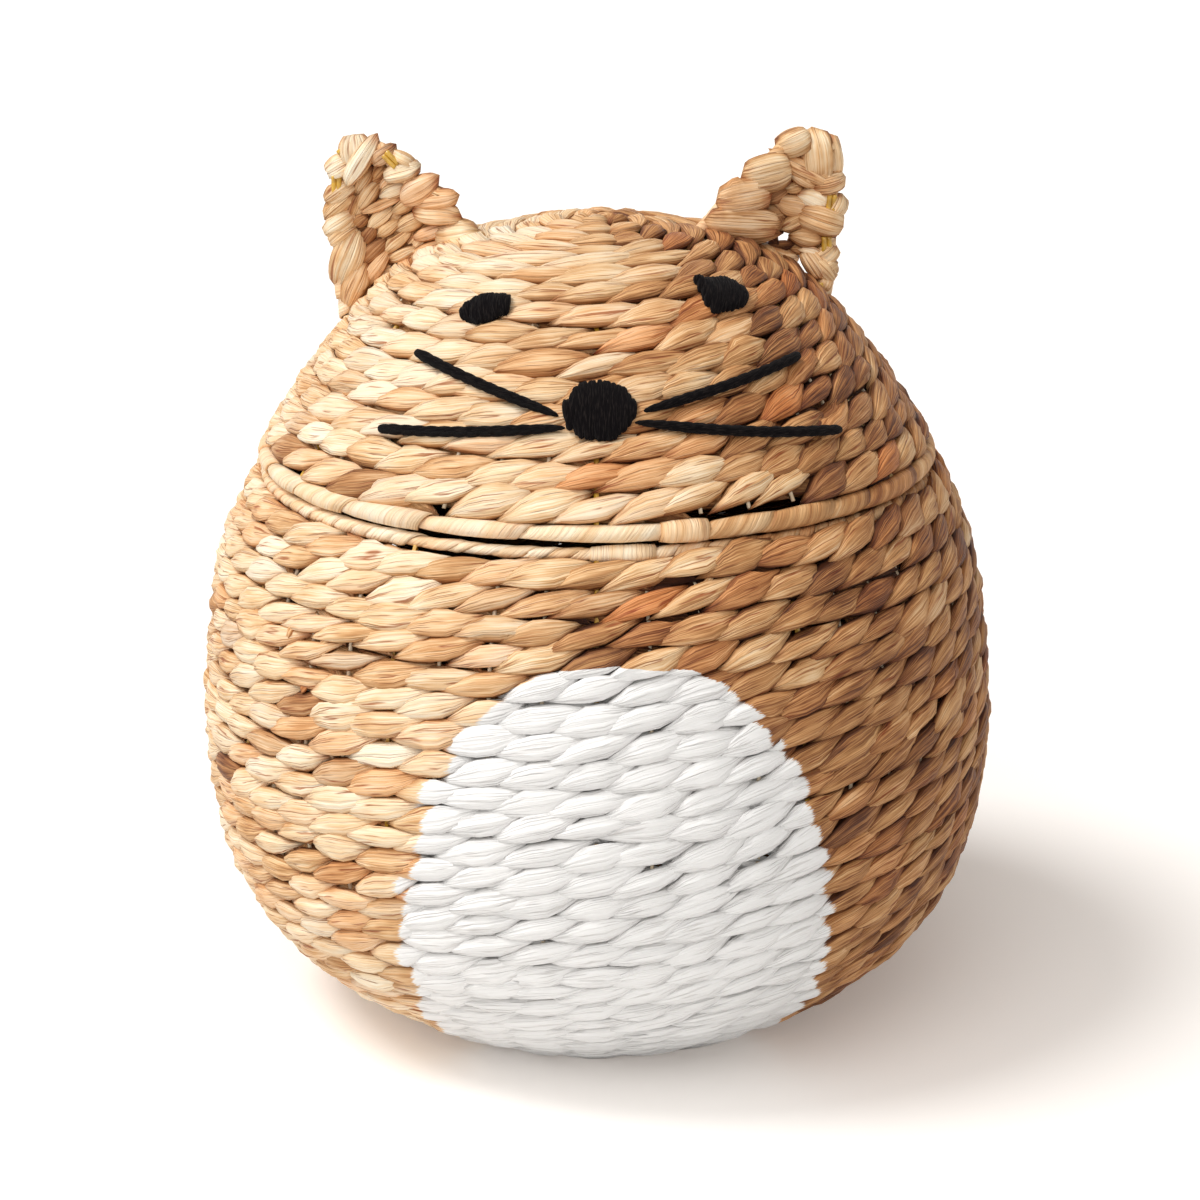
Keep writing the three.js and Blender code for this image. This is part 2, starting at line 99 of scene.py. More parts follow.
def linear(hex_colour: str) -> tuple[float, float, float, float]:
    """Turns an sRGB hex colour into linear red, green, blue and alpha.

    Args:
        hex_colour: Six hex digits after a hash.

    Returns:
        The colour as Blender's sockets take it.
    """
    shares = [int(hex_colour[i : i + 2], 16) / 255 for i in (1, 3, 5)]
    red, green, blue = (c / 12.92 if c <= 0.04045 else ((c + 0.055) / 1.055) ** 2.4 for c in shares)
    return red, green, blue, 1.0


def add_node(
    owner: Material | bpy.types.World,
    kind: str,
    inputs: dict[str | int, object] | tuple[object, ...] = (),
    output: str | int = 0,
    **settings: object,
) -> Socket | None:
    """Adds a node with its settings, values and links.

    Args:
        owner: Material or world whose tree gets the node.
        kind: Node type without its ShaderNode prefix.
        inputs: Values or source sockets of its inputs, by name or number, or in turn from the first.
        output: Name or number of the output that is wanted.
        settings: Values of the node's own properties.

    Returns:
        The wanted output, or nothing where the node has none.
    """
    tree = owner.node_tree
    node = tree.nodes.new("ShaderNode" + kind)
    for name, value in settings.items():
        setattr(node, name, value)
    for name, value in inputs.items() if isinstance(inputs, dict) else enumerate(inputs):
        if isinstance(value, Socket):
            tree.links.new(value, node.inputs[name])
        else:
            node.inputs[name].default_value = value
    return node.outputs[output] if len(node.outputs) else None


def start_material(name: str) -> tuple[Material, Adder]:
    """Makes an empty node material, and gives it with add_node bound to it.

    Args:
        name: Name of the material.

    Returns:
        The material, and a function that adds a node to it.
    """
    material = bpy.data.materials.new(name)
    material.use_nodes = True
    material.node_tree.nodes.clear()
    return material, partial(add_node, material)


def end_material(
    add: Adder, height: Socket, relief: float, strength: float, inputs: dict[str, object]
) -> None:
    """Ends a material with its relief, its shader and its output.

    Args:
        add: Adds a node to the material.
        height: Height of the relief.
        relief: What a height of 1 is in millimetres.
        strength: Strength of the relief.
        inputs: The shader's other inputs.
    """
    bump = add("Bump", {"Strength": strength, "Distance": relief * MM, "Height": height})
    shader = add("BsdfPrincipled", {**inputs, "Normal": bump})
    add("OutputMaterial", {"Surface": shader})


def set_ramp(ramp: bpy.types.ColorRamp, stops: tuple[tuple[float, str], ...]) -> None:
    """Sets a colour ramp's stops from places and hex colours."""
    while len(ramp.elements) > 1:
        ramp.elements.remove(ramp.elements[-1])
    ramp.elements[0].position, ramp.elements[0].color = stops[0][0], linear(stops[0][1])
    for place, colour in stops[1:]:
        ramp.elements.new(place).color = linear(colour)


@dataclass(frozen=True)
class HyacinthFinish:
    """Dried water hyacinth stem, flattened, unbleached: satin, ribbed along the strand, straw to brown.

    The strand map is in millimetres, along and across each strand, so every scale is one over a size.
    """

    name: str
    stops: tuple[tuple[float, str], ...] = (
        (0.0, "#fdf0d8"), (0.2, "#f8dfbb"), (0.38, "#ebc596"), (0.54, "#d2a06c"),
        (0.7, "#b07c4c"), (0.84, "#855431"), (1.0, "#4e2a17"),
    )
    orange: str = "#f7ae6c"  # stain of the warmest strands
    mauve: str = "#cfbab8"  # stain of the coolest strands
    russet: str = "#bd7c62"  # stain of blotches near a strand's tips
    # painted shade in the strands' folds
    fold_shade: str = "#a8683c"
    paint: str = "#f6f5f4"
    # painted shade of the white paint in folds and fibre grooves
    paint_in_shade: str = "#aba39f"  # the paint in a fold
    fibre_width: float = 0.5  # real fibres are near 0.3 mm, drawn coarser so that they show
    fibre_length: float = 24.0
    pleat_width: float = 1.5  # the flattened stem gathers into pleats where it is twisted
    pleat_length: float = 80.0
    blotch_width: float = 9.0
    blotch_length: float = 28.0
    fold_width: float = 1.9  # spacing of the sharp lengthwise folds
    fold_length: float = 70.0
    folded_width: float = 2.4  # size of the parts where they show
    folded_length: float = 18.0
    roughness: float = 0.6
    relief: float = 0.95  # height of the pleats in millimetres
    contrast: float = 1.0  # of the fibres and pleats
    painted: bool = False

    def make(self) -> Material:
        """Builds the material.

        Returns:
            A material that reads the strand map and the tone, hue, tip, across and reach attributes.
        """
        material, add = start_material(self.name)
        fibre, pleat, blotch, wander, where = self._grains(add)
        fibre, pleat = (add("MapRange", (grain, 0.3, 0.7)) for grain in (fibre, pleat))
        tone, hue, tip, across = (
            add("Attribute", output="Fac", attribute_name=name) for name in ("tone", "hue", "tip", "across")
        )
        crease = self._crease(add, wander, where)
        # Painted shade: rim darkens a strand along its long edges, where it meets its neighbours, and end
        # darkens its tips, where they dive under them.
        rim = add("Math", (add("Math", (across,), operation="ABSOLUTE"), 9.0), operation="POWER")
        end = add("Math", (tip, 6.0), operation="POWER")
        for value, darker in (
            (blotch, 0.55),
            (fibre, 0.28 * self.contrast),
            (pleat, 0.12 * self.contrast),
            (rim, 0.42),
            (end, 0.24),
        ):
            tone = add("Math", (value, darker, tone), operation="MULTIPLY_ADD")
        tone = add("Math", (tone, 0.32 + 0.2 * self.contrast), operation="SUBTRACT")
        colour = add("ValToRGB", (tone,))
        set_ramp(colour.node.color_ramp, self.stops)
        colour = self._stain_and_fold_shade(add, colour, hue, tip, blotch, crease)
        if self.painted:
            colour = self._paint(add, colour, across, fibre, crease)
        height = add("Math", (fibre, 0.3, pleat), operation="MULTIPLY_ADD")
        height = add("Math", (crease, -0.5, height), operation="MULTIPLY_ADD")
        inputs = {"Base Color": colour, "Roughness": self.roughness, "Specular IOR Level": 0.3}
        end_material(add, height, self.relief * 0.45, 1.0, inputs)
        return material

    def _grains(self, add: Adder) -> list[Socket]:
        """Adds the fibres, pleats, blotches, wandering folds and folded parts, drawn out along the strand.

        Args:
            add: Adds a node to the material.

        Returns:
            Their five noises, 0 to 1.
        """
        strand = add("UVMap", uv_map="strand")
        grains = []
        for length, width, detail in (
            (self.fibre_length, self.fibre_width, 3.0),
            (self.pleat_length, self.pleat_width, 1.5),
            (self.blotch_length, self.blotch_width, 2.0),
            (self.fold_length, self.fold_width, 0.0),
            (self.folded_length, self.folded_width, 0.0),
        ):
            place = add("Mapping", {"Vector": strand, "Scale": Vector((1 / length, 1 / width, 1.0))})
            inputs = {"Vector": place, "Scale": 1.0, "Detail": detail}
            grains.append(add("TexNoise", inputs, "Fac", noise_dimensions="2D"))
        return grains

    @staticmethod
    def _crease(add: Adder, wander: Socket, where: Socket) -> Socket:
        """Adds the few sharp lengthwise folds of a strand, 1 in a fold and 0 beside it.

        Args:
            add: Adds a node to the material.
            wander: Noise along whose middle value the folds run.
            where: Noise in whose upper half they show.

        Returns:
            How far a point is in a fold.
        """
        apart = add("Math", (wander, 0.5), operation="SUBTRACT")
        apart = add("Math", (apart,), operation="ABSOLUTE")
        line = add("MapRange", (apart, 0.0, 0.07, 1.0, 0.0))
        part = add("MapRange", (where, 0.5, 0.6))
        return add("Math", (line, part), operation="MULTIPLY")

    def _stain_and_fold_shade(
        self, add: Adder, colour: Socket, hue: Socket, tip: Socket, blotch: Socket, crease: Socket
    ) -> Socket:
        """Stains the strands and paints shade into their folds.

        Args:
            add: Adds a node to the material.
            colour: Colour to be stained.
            hue: 1 for a strand that is orange and -1 for one that is mauve.
            tip: 0 in a strand's middle and 1 at its ends.
            blotch: Uneven patches.
            crease: 1 in a fold.

        Returns:
            The colour, with the three stains and the painted shade of the folds on it.
        """
        near = add("MapRange", (tip, 0.5, 0.95))
        patchy = add("MapRange", (blotch, 0.5, 0.62, 0.0, 0.75))
        for share, tint in (
            (add("MapRange", (hue, 0.0, 1.0, 0.0, 0.6)), self.orange),
            (add("MapRange", (hue, 0.0, -1.0, 0.0, 0.6)), self.mauve),
            (add("Math", (near, patchy), operation="MULTIPLY"), self.russet),
            # painted shade in the folds
            (add("Math", (crease, 0.9 * self.contrast), operation="MULTIPLY"), self.fold_shade),
        ):
            inputs = {0: share, 6: colour, 7: linear(tint)}
            colour = add("Mix", inputs, 2, data_type="RGBA", blend_type="MULTIPLY")
        return colour

    def _paint(self, add: Adder, colour: Socket, across: Socket, fibre: Socket, crease: Socket) -> Socket:
        """Lays the belly's white brushed paint over the strands, with painted shade along the fibres and in
        the folds.

        Args:
            add: Adds a node to the material.
            colour: Colour of the bare strands.
            across: -1 to 1 from one long edge of a strand to the other.
            fibre: The fibres, that the brush follows.
            crease: 1 in a fold.

        Returns:
            The colour, with paint where the reach attribute, in millimetres inside the edge, is above 0.
        """
        reach = add("Attribute", output="Fac", attribute_name="reach")
        bend = add("Math", (add("Math", (across,), operation="ABSOLUTE"), 3.0), operation="POWER")
        reach = add("Math", (bend, -4.0, reach), operation="MULTIPLY_ADD")
        brush = add("Math", (fibre, 0.5), operation="SUBTRACT")
        reach = add("Math", (brush, 2.6, reach), operation="MULTIPLY_ADD")
        mask = add("MapRange", (reach, -0.5, 0.5))
        # painted shade: the paint greyer along the fibres and in the folds
        shade = add("Math", (fibre, 0.1), operation="MULTIPLY")
        shade = add("Math", (crease, 0.4, shade), operation="MULTIPLY_ADD")
        white = add("Mix", {0: shade, 6: linear(self.paint), 7: linear(self.paint_in_shade)}, 2, data_type="RGBA")
        return add("Mix", {0: mask, 6: colour, 7: white}, 2, data_type="RGBA")


@dataclass(frozen=True)
class LacqueredWire:
    """Steel wire in a yellow lacquer: smooth and glossy, a little worn."""

    name: str = "yellow_lacquered_steel_wire"
    colour: str = "#d6a93a"
    worn: str = "#a67a2c"
    roughness: float = 0.36
    wear_size: float = 6.0

    def make(self) -> Material:
        """Builds the material.

        Returns:
            A lacquer whose tone and gloss change over a few millimetres.
        """
        material, add = start_material(self.name)
        place = add("TexCoord", output="Object")
        wear = add("TexNoise", {"Vector": place, "Scale": 1 / (self.wear_size * MM), "Detail": 3.0}, "Fac")
        share = add("MapRange", (wear, 0.45, 0.7))
        colour = add("Mix", {0: share, 6: linear(self.colour), 7: linear(self.worn)}, 2, data_type="RGBA")
        inputs = {"Base Color": colour, "Roughness": self.roughness}
        end_material(add, wear, 0.2, 0.3, {**inputs, "Coat Weight": 0.4, "Coat Roughness": 0.2})
        return material


@dataclass(frozen=True)
class WoolYarn:
    """Black acrylic and wool yarn, two-ply: matt, hairy, with faint lit fibres."""

    name: str = "black_wool_yarn"
    colour: str = "#0b080a"
    lit: str = "#2c2624"
    hair_width: float = 0.5
    hair_length: float = 5.0
    hair_turn: float = 0.6  # angle of the hairs to the yarn, in radians

    def make(self) -> Material:
        """Builds the material.

        Returns:
            A dark matt material with hairs along the strand map.
        """
        material, add = start_material(self.name)
        scale = Vector((1 / self.hair_length, 1 / self.hair_width, 1.0))
        rotation = Vector((0, 0, self.hair_turn))
        strand = add("UVMap", uv_map="strand")
        place = add("Mapping", {"Vector": strand, "Rotation": rotation, "Scale": scale})
        hairs = add("TexNoise", {"Vector": place, "Scale": 1.0, "Detail": 3.0}, "Fac", noise_dimensions="2D")
        share = add("MapRange", (hairs, 0.5, 0.8, 0.0, 0.8))
        colour = add("Mix", {0: share, 6: linear(self.colour), 7: linear(self.lit)}, 2, data_type="RGBA")
        inputs = {
            "Base Color": colour,
            "Roughness": 1.0,
            "Specular IOR Level": 0.06,
            "Sheen Weight": 0.04,
            "Sheen Roughness": 0.5,
        }
        end_material(add, hairs, 0.6, 1.0, inputs)
        return material


# ---- Surfaces that strands lie on ----


def unit(vectors: Array) -> Array:
    """Brings vectors along the last axis to a length of one."""
    return vectors / np.linalg.norm(vectors, axis=-1, keepdims=True)


def from_front(angle: Array) -> Array:
    """Brings angles to within half a turn of the front."""
    return np.angle(np.exp(1j * angle))


def by_angle(front: Array, table: tuple[Point, ...]) -> Array:
    """Reads a table of degrees from the front and values at angles in radians."""
    return np.interp(np.degrees(front), *zip(*table))


def turned(radius: Array | float, angle: Array | float, height: Array | float) -> Array:
    """Gives points at a radius, an angle from the front and a height."""
    return np.stack(np.broadcast_arrays(radius * np.sin(angle), -radius * np.cos(angle), height), axis=-1)


class Surface(ABC):
    """A surface with places in millimetres along it, upwards on it and out from it."""

    @abstractmethod
    def place(self, anchor: Array, along: Array, up: Array, out: Array) -> Array:
        """Places points on the surface.

        Args:
            anchor: One pair for each strand, its middle's first and second place.
            along: Offsets along the surface, one row for each strand.
            up: Offsets upwards on the surface.
            out: Distances out from the surface.

        Returns:
            Points in millimetres, with a last axis of three.
        """


class TurnedSurface(Surface):
    """Surface of revolution whose outline is a smooth curve through points of radius and height."""

    def __init__(self, points: list[Point], overrun: float = 12.0, steps: int = 40) -> None:
        """Samples the outline.

        Args:
            points: Radius and height of each outline point, from bottom to top.
            overrun: Straight length added past both ends.
            steps: Samples between two outline points.
        """
        curve = self._smooth(np.array(points, float), steps)
        start = curve[0] + unit(curve[0] - curve[1]) * overrun
        end = curve[-1] + unit(curve[-1] - curve[-2]) * overrun
        curve = np.vstack([start, curve, end])
        lengths = np.linalg.norm(np.diff(curve, axis=0), axis=1)
        self.arc = np.concatenate([[0.0], np.cumsum(lengths)]) - overrun
        self.curve = curve
        self.length = float(self.arc[-1] - overrun)
        tangent = unit(np.gradient(curve, self.arc, axis=0))
        self.outward = np.stack([tangent[:, 1], -tangent[:, 0]], axis=1)

    @staticmethod
    def _smooth(points: Array, steps: int) -> Array:
        """Runs a centripetal Catmull-Rom curve through points, as the model's outlines do.

        Args:
            points: What the curve runs through.
            steps: Samples between two of them.

        Returns:
            Its samples, in order.
        """
        padded = np.vstack([2 * points[0] - points[1], points, 2 * points[-1] - points[-2]])
        share = np.linspace(0, 1, steps, endpoint=False)[:, None]
        parts = []
        for before, start, end, after in zip(padded, padded[1:], padded[2:], padded[3:]):
            first, middle, last = (
                math.sqrt(np.linalg.norm(b - a)) for a, b in ((before, start), (start, end), (end, after))
            )
            leave = (start - before) / first - (end - before) / (first + middle) + (end - start) / middle
            reach = (end - start) / middle - (after - start) / (middle + last) + (after - end) / last
            leave, reach = leave * middle, reach * middle
            square = 3 * (end - start) - 2 * leave - reach
            cube = 2 * (start - end) + leave + reach
            parts.append(start + leave * share + square * share**2 + cube * share**3)
        return np.vstack([*parts, points[-1:]])

    def section(self, arc: Array, out: Array | float = 0.0) -> tuple[Array, Array]:
        """Gives the radius and height at places along the outline and out from it."""
        radius, height = (
            np.interp(arc, self.arc, self.curve[:, i]) + out * np.interp(arc, self.arc, self.outward[:, i])
            for i in (0, 1)
        )
        return radius, height

    def arc_at_height(self, height: Array) -> Array:
        """Gives the places along the outline at heights."""
        return np.interp(height, self.curve[:, 1], self.arc)

    def place(self, anchor: Array, along: Array, up: Array, out: Array) -> Array:
        """Places points, with each anchor an angle from the front and a place along the outline."""
        middle_radius, _ = self.section(anchor[:, 1:2])
        angle = anchor[:, 0:1] + along / np.maximum(middle_radius, 1.0)
        radius, height = self.section(anchor[:, 1:2] + up, out)
        return turned(radius, angle, height)


@dataclass
class EarSurface(Surface):
    """The hollow sheet inside an ear's border, placed by its width and its height."""

    mirror: int
    foot: Triple
    yaw: float
    width: float
    cup: float

    def axes(self) -> tuple[Array, Array]:
        """Gives the ear's directions along its width and to its back."""
        cosine, sine = math.cos(self.yaw), math.sin(self.yaw)
        along = np.array([self.mirror * cosine, sine, 0.0])
        back = np.array([-self.mirror * sine, cosine, 0.0])
        return along, back

    def hollow(self, across: Array) -> Array:
        """Gives how far the sheet lies behind the border's plane."""
        return self.cup * (1 - np.clip(2 * across / self.width - 1, -1, 1) ** 2)

    def place(self, anchor: Array, along: Array, up: Array, out: Array) -> Array:
        """Places points, with out towards the front and along to the viewer's right."""
        across = anchor[:, 0:1] + self.mirror * along
        height = anchor[:, 1:2] + up
        hollow = self.hollow(across)
        width_axis, back = self.axes()
        points = across[..., None] * width_axis + (hollow - out)[..., None] * back
        points[..., 2] += height
        return points + np.array(self.foot)


# ---- Strands ----


@dataclass
class Lobes:
    """Pieces of strand that show between two crossings, one entry of each array for one of them."""

    anchor: Array  # middle, as the surface takes it
    turn: Array  # angle to the surface's level, in radians
    half_length: Array
    half_width: Array
    half_depth: Array
    out: Array  # of the middle from the surface
    dive: Array  # how far the left and right ends go in
    tone: Array
    hue: Array  # -1 is mauve and 1 is orange
    taper: Array | float = 0.62  # 0.5 is an ellipse; more gives sharper ends
    bend: Array | float = 0.0  # how far the left tip bends down and the right one up
    late: Array | float = LATE  # more keeps the left end up for longer and lets the right end in sooner
    reach: Array | None = None

    @property
    def count(self) -> int:
        """Number of lobes."""
        return len(self.turn)

    @property
    def inward(self) -> Array:
        """Whether each lobe shows the side that faces into the surface."""
        return self.dive.sum(axis=1) < 0

    @staticmethod
    def joined(parts: list["Lobes"]) -> "Lobes":
        """Joins several sets of lobes into one.

        Args:
            parts: The sets.

        Returns:
            One set, with paint on it only where all have it.
        """
        arrays = {}
        for name in (field.name for field in fields(Lobes)):
            values = [(getattr(part, name), part.count) for part in parts]
            if all(value is not None for value, _ in values):
                arrays[name] = np.concatenate(
                    [value if np.ndim(value) else np.full(count, value) for value, count in values]
                )
        return Lobes(**arrays)


def repeated(template: bmesh.types.BMesh, count: int, name: str) -> tuple[Mesh, Array]:
    """Fills a mesh with copies of a template, one after another, and frees the template.

    Args:
        template: Shape of one copy.
        count: Number of copies.
        name: Name of the mesh.

    Returns:
        The mesh, and the vertices of the template.
    """
    points = np.array([vertex.co for vertex in template.verts], float)
    one = bpy.data.meshes.new(name + "_one")
    template.to_mesh(one)
    template.clear()
    for _ in range(count):
        template.from_mesh(one)
    mesh = bpy.data.meshes.new(name)
    template.to_mesh(mesh)
    template.free()
    bpy.data.meshes.remove(one)
    return mesh, points


def write_map(mesh: Mesh, along: Array, across: Array) -> None:
    """Writes the strand map, in millimetres, from values at the vertices."""
    corners = np.empty(len(mesh.loops), np.int32)
    mesh.loops.foreach_get("vertex_index", corners)
    values = np.stack([along.ravel(), across.ravel()], axis=1)[corners]
    layer = mesh.uv_layers.new(name="strand")
    layer.data.foreach_set("uv", values.astype(np.float32).ravel())


def write_attributes(mesh: Mesh, size: tuple[int, int], **attributes: Array) -> None:
    """Writes numbers for the vertices of so many copies with so many vertices each."""
    for name, values in attributes.items():
        attribute = mesh.attributes.new(name, "FLOAT", "POINT")
        attribute.data.foreach_set("value", np.broadcast_to(values, size).astype(np.float32).ravel())


def finish_mesh(mesh: Mesh, points: Array, name: str, material: Material) -> Piece:
    """Places a mesh's vertices, turns its faces outwards, smooths it and makes its object.

    Args:
        mesh: Mesh whose vertices are moved.
        points: Place of each vertex in millimetres.
        name: Name of the piece.
        material: Finish of the piece.

    Returns:
        The piece, at the origin.
    """
    mesh.vertices.foreach_set("co", (points.reshape(-1) * MM).astype(np.float32))
    shaped = bmesh.new()
    shaped.from_mesh(mesh)
    bmesh.ops.recalc_face_normals(shaped, faces=shaped.faces)
    for face in shaped.faces:
        face.smooth = True
    shaped.to_mesh(mesh)
    shaped.free()
    mesh.materials.append(material)
    piece = bpy.data.objects.new(name, mesh)
    bpy.context.scene.collection.objects.link(piece)
    return piece


def settle(piece: Piece, body: Body, slot: Slot, *nodes: str) -> None:
    """Rides a piece on its body, hides the nodes that it stands for, and reports it.

    Args:
        piece: The piece.
        body: Body that it rides on.
        slot: Its material slot, not used.
        nodes: Nodes of the model that it stands for.
    """
    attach(piece, body.value)
    if nodes:
        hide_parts(*nodes)
    triangles = sum(len(face.vertices) - 2 for face in piece.data.polygons)
    log.info("%s rides on %s, %d triangles", piece.name, body.value, triangles)


@dataclass
class LobeShaper:
    """Shapes lobes from a round template and lays them on a surface."""

    around: int = 10
    steps: int = 7
    lump: float = 0.12  # unevenness of a lobe's section
    wobble: float = 0.2  # unevenness of its surface in millimetres
    facing: float = 0.5  # how far the section's points gather on the side that shows
    flatness: float = 0.8  # 1 is a round section; less gives a flatter face
    blunt: bool = False  # whether the rings gather at the ends
    girth: float = 1.25  # a quarter round the section in half widths, for the strand map
    # painted shade on the side of an inner lobe that faces into the wall
    shaded: float = 0.3  # how much darker the hidden side of an inner lobe is
    seed: int = 1

    def make(self, lobes: Lobes, surface: Surface, name: str, material: Material) -> Piece:
        """Makes one piece from a set of lobes.

        Args:
            lobes: Where the lobes are and how big.
            surface: What they lie on.
            name: Name of the piece.
            material: Its finish.

        Returns:
            The piece, not yet riding on a body.
        """
        random = np.random.default_rng(self.seed)
        template = bmesh.new()
        bmesh.ops.create_uvsphere(template, u_segments=self.around, v_segments=self.steps, radius=1.0)
        mesh, ball = repeated(template, lobes.count, name)

        share = ball[:, 2] if self.blunt else 1 - 2 * np.arccos(np.clip(ball[:, 2], -1, 1)) / math.pi
        angle = np.arctan2(ball[:, 1], ball[:, 0])
        pole = np.hypot(ball[:, 0], ball[:, 1]) < 1e-4
        angle[pole] = 0.0
        spoke = np.round(angle / FULL_TURN * self.around).astype(int) % self.around
        angle = angle - self.facing * np.sin(angle)
        angle = np.where(lobes.inward[:, None], math.pi - angle, angle)
        size = (lobes.count, len(ball))
        lumps = 1 + self.lump * random.normal(size=(lobes.count, self.around))[:, spoke]
        fullness = np.clip(1 - share**2, 0, 1)
        taper, bend, late = (
            np.broadcast_to(value, lobes.count)[:, None] for value in (lobes.taper, lobes.bend, lobes.late)
        )
        width = lobes.half_width[:, None] * fullness**taper * np.sin(angle) * lumps
        depth = lobes.half_depth[:, None] * fullness**0.5
        bulge = depth * np.sign(np.cos(angle)) * np.abs(np.cos(angle)) ** self.flatness * lumps
        length = lobes.half_length[:, None] * share + self.wobble * random.normal(size=size)
        side = np.where(share < 0, lobes.dive[:, 0:1], lobes.dive[:, 1:2])
        rate = np.where(share < 0, late, 2 * LATE - late)
        out = lobes.out[:, None] + bulge - side * np.abs(share) ** rate
        out = out + self.wobble * 0.5 * random.normal(size=size)
        cosine, sine = np.cos(lobes.turn)[:, None], np.sin(lobes.turn)[:, None]
        along = length * cosine - width * sine
        up = length * sine + width * cosine + bend * np.sign(share) * (1 - fullness**taper)
        points = surface.place(lobes.anchor, along, up, out)
        points[..., 2] = np.maximum(points[..., 2], FLOOR_GAP)

        place_along, place_across = random.uniform(0, MAP_SPREAD, (2, lobes.count, 1))
        girth = lobes.half_width[:, None] * self.girth
        write_map(mesh, length + place_along, girth * angle / (math.pi / 2) + place_across)
        # painted shade on the hidden side of the inner lobes
        tone = lobes.tone[:, None] + self.shaded * (lobes.inward[:, None] & (bulge > 0))
        hue = lobes.hue[:, None]
        write_attributes(mesh, size, tone=tone, hue=hue, tip=np.abs(share), across=np.sin(angle))
        if lobes.reach is not None:
            reach = PATCH.reach(points) + lobes.reach[:, None]
            reach = np.where(lobes.inward[:, None] & (bulge < 0), UNPAINTED, reach)
            write_attributes(mesh, size, reach=reach)
        return finish_mesh(mesh, points, name, material)


@dataclass(frozen=True)
class PaintPatch:
    """White patch painted on the belly: half its width at each height, in millimetres."""

    middle: float = 9.0
    heights: tuple[float, ...] = (0.0, 12.0, 45.0, 86.0, 122.0, 150.0, 175.0, 200.0, 218.0, 228.0, 233.0)
    half_widths: tuple[float, ...] = (62.0, 78.0, 93.0, 98.5, 96.5, 90.5, 82.0, 69.0, 52.0, 34.0, -20.0)

    def reach(self, points: Array) -> Array:
        """Gives how far points lie inside the patch's edge, all in millimetres."""
        half = np.interp(points[..., 2], self.heights, self.half_widths)
        return np.where(points[..., 1] < 0, half - np.abs(points[..., 0] - self.middle), UNPAINTED)


PATCH = PaintPatch()


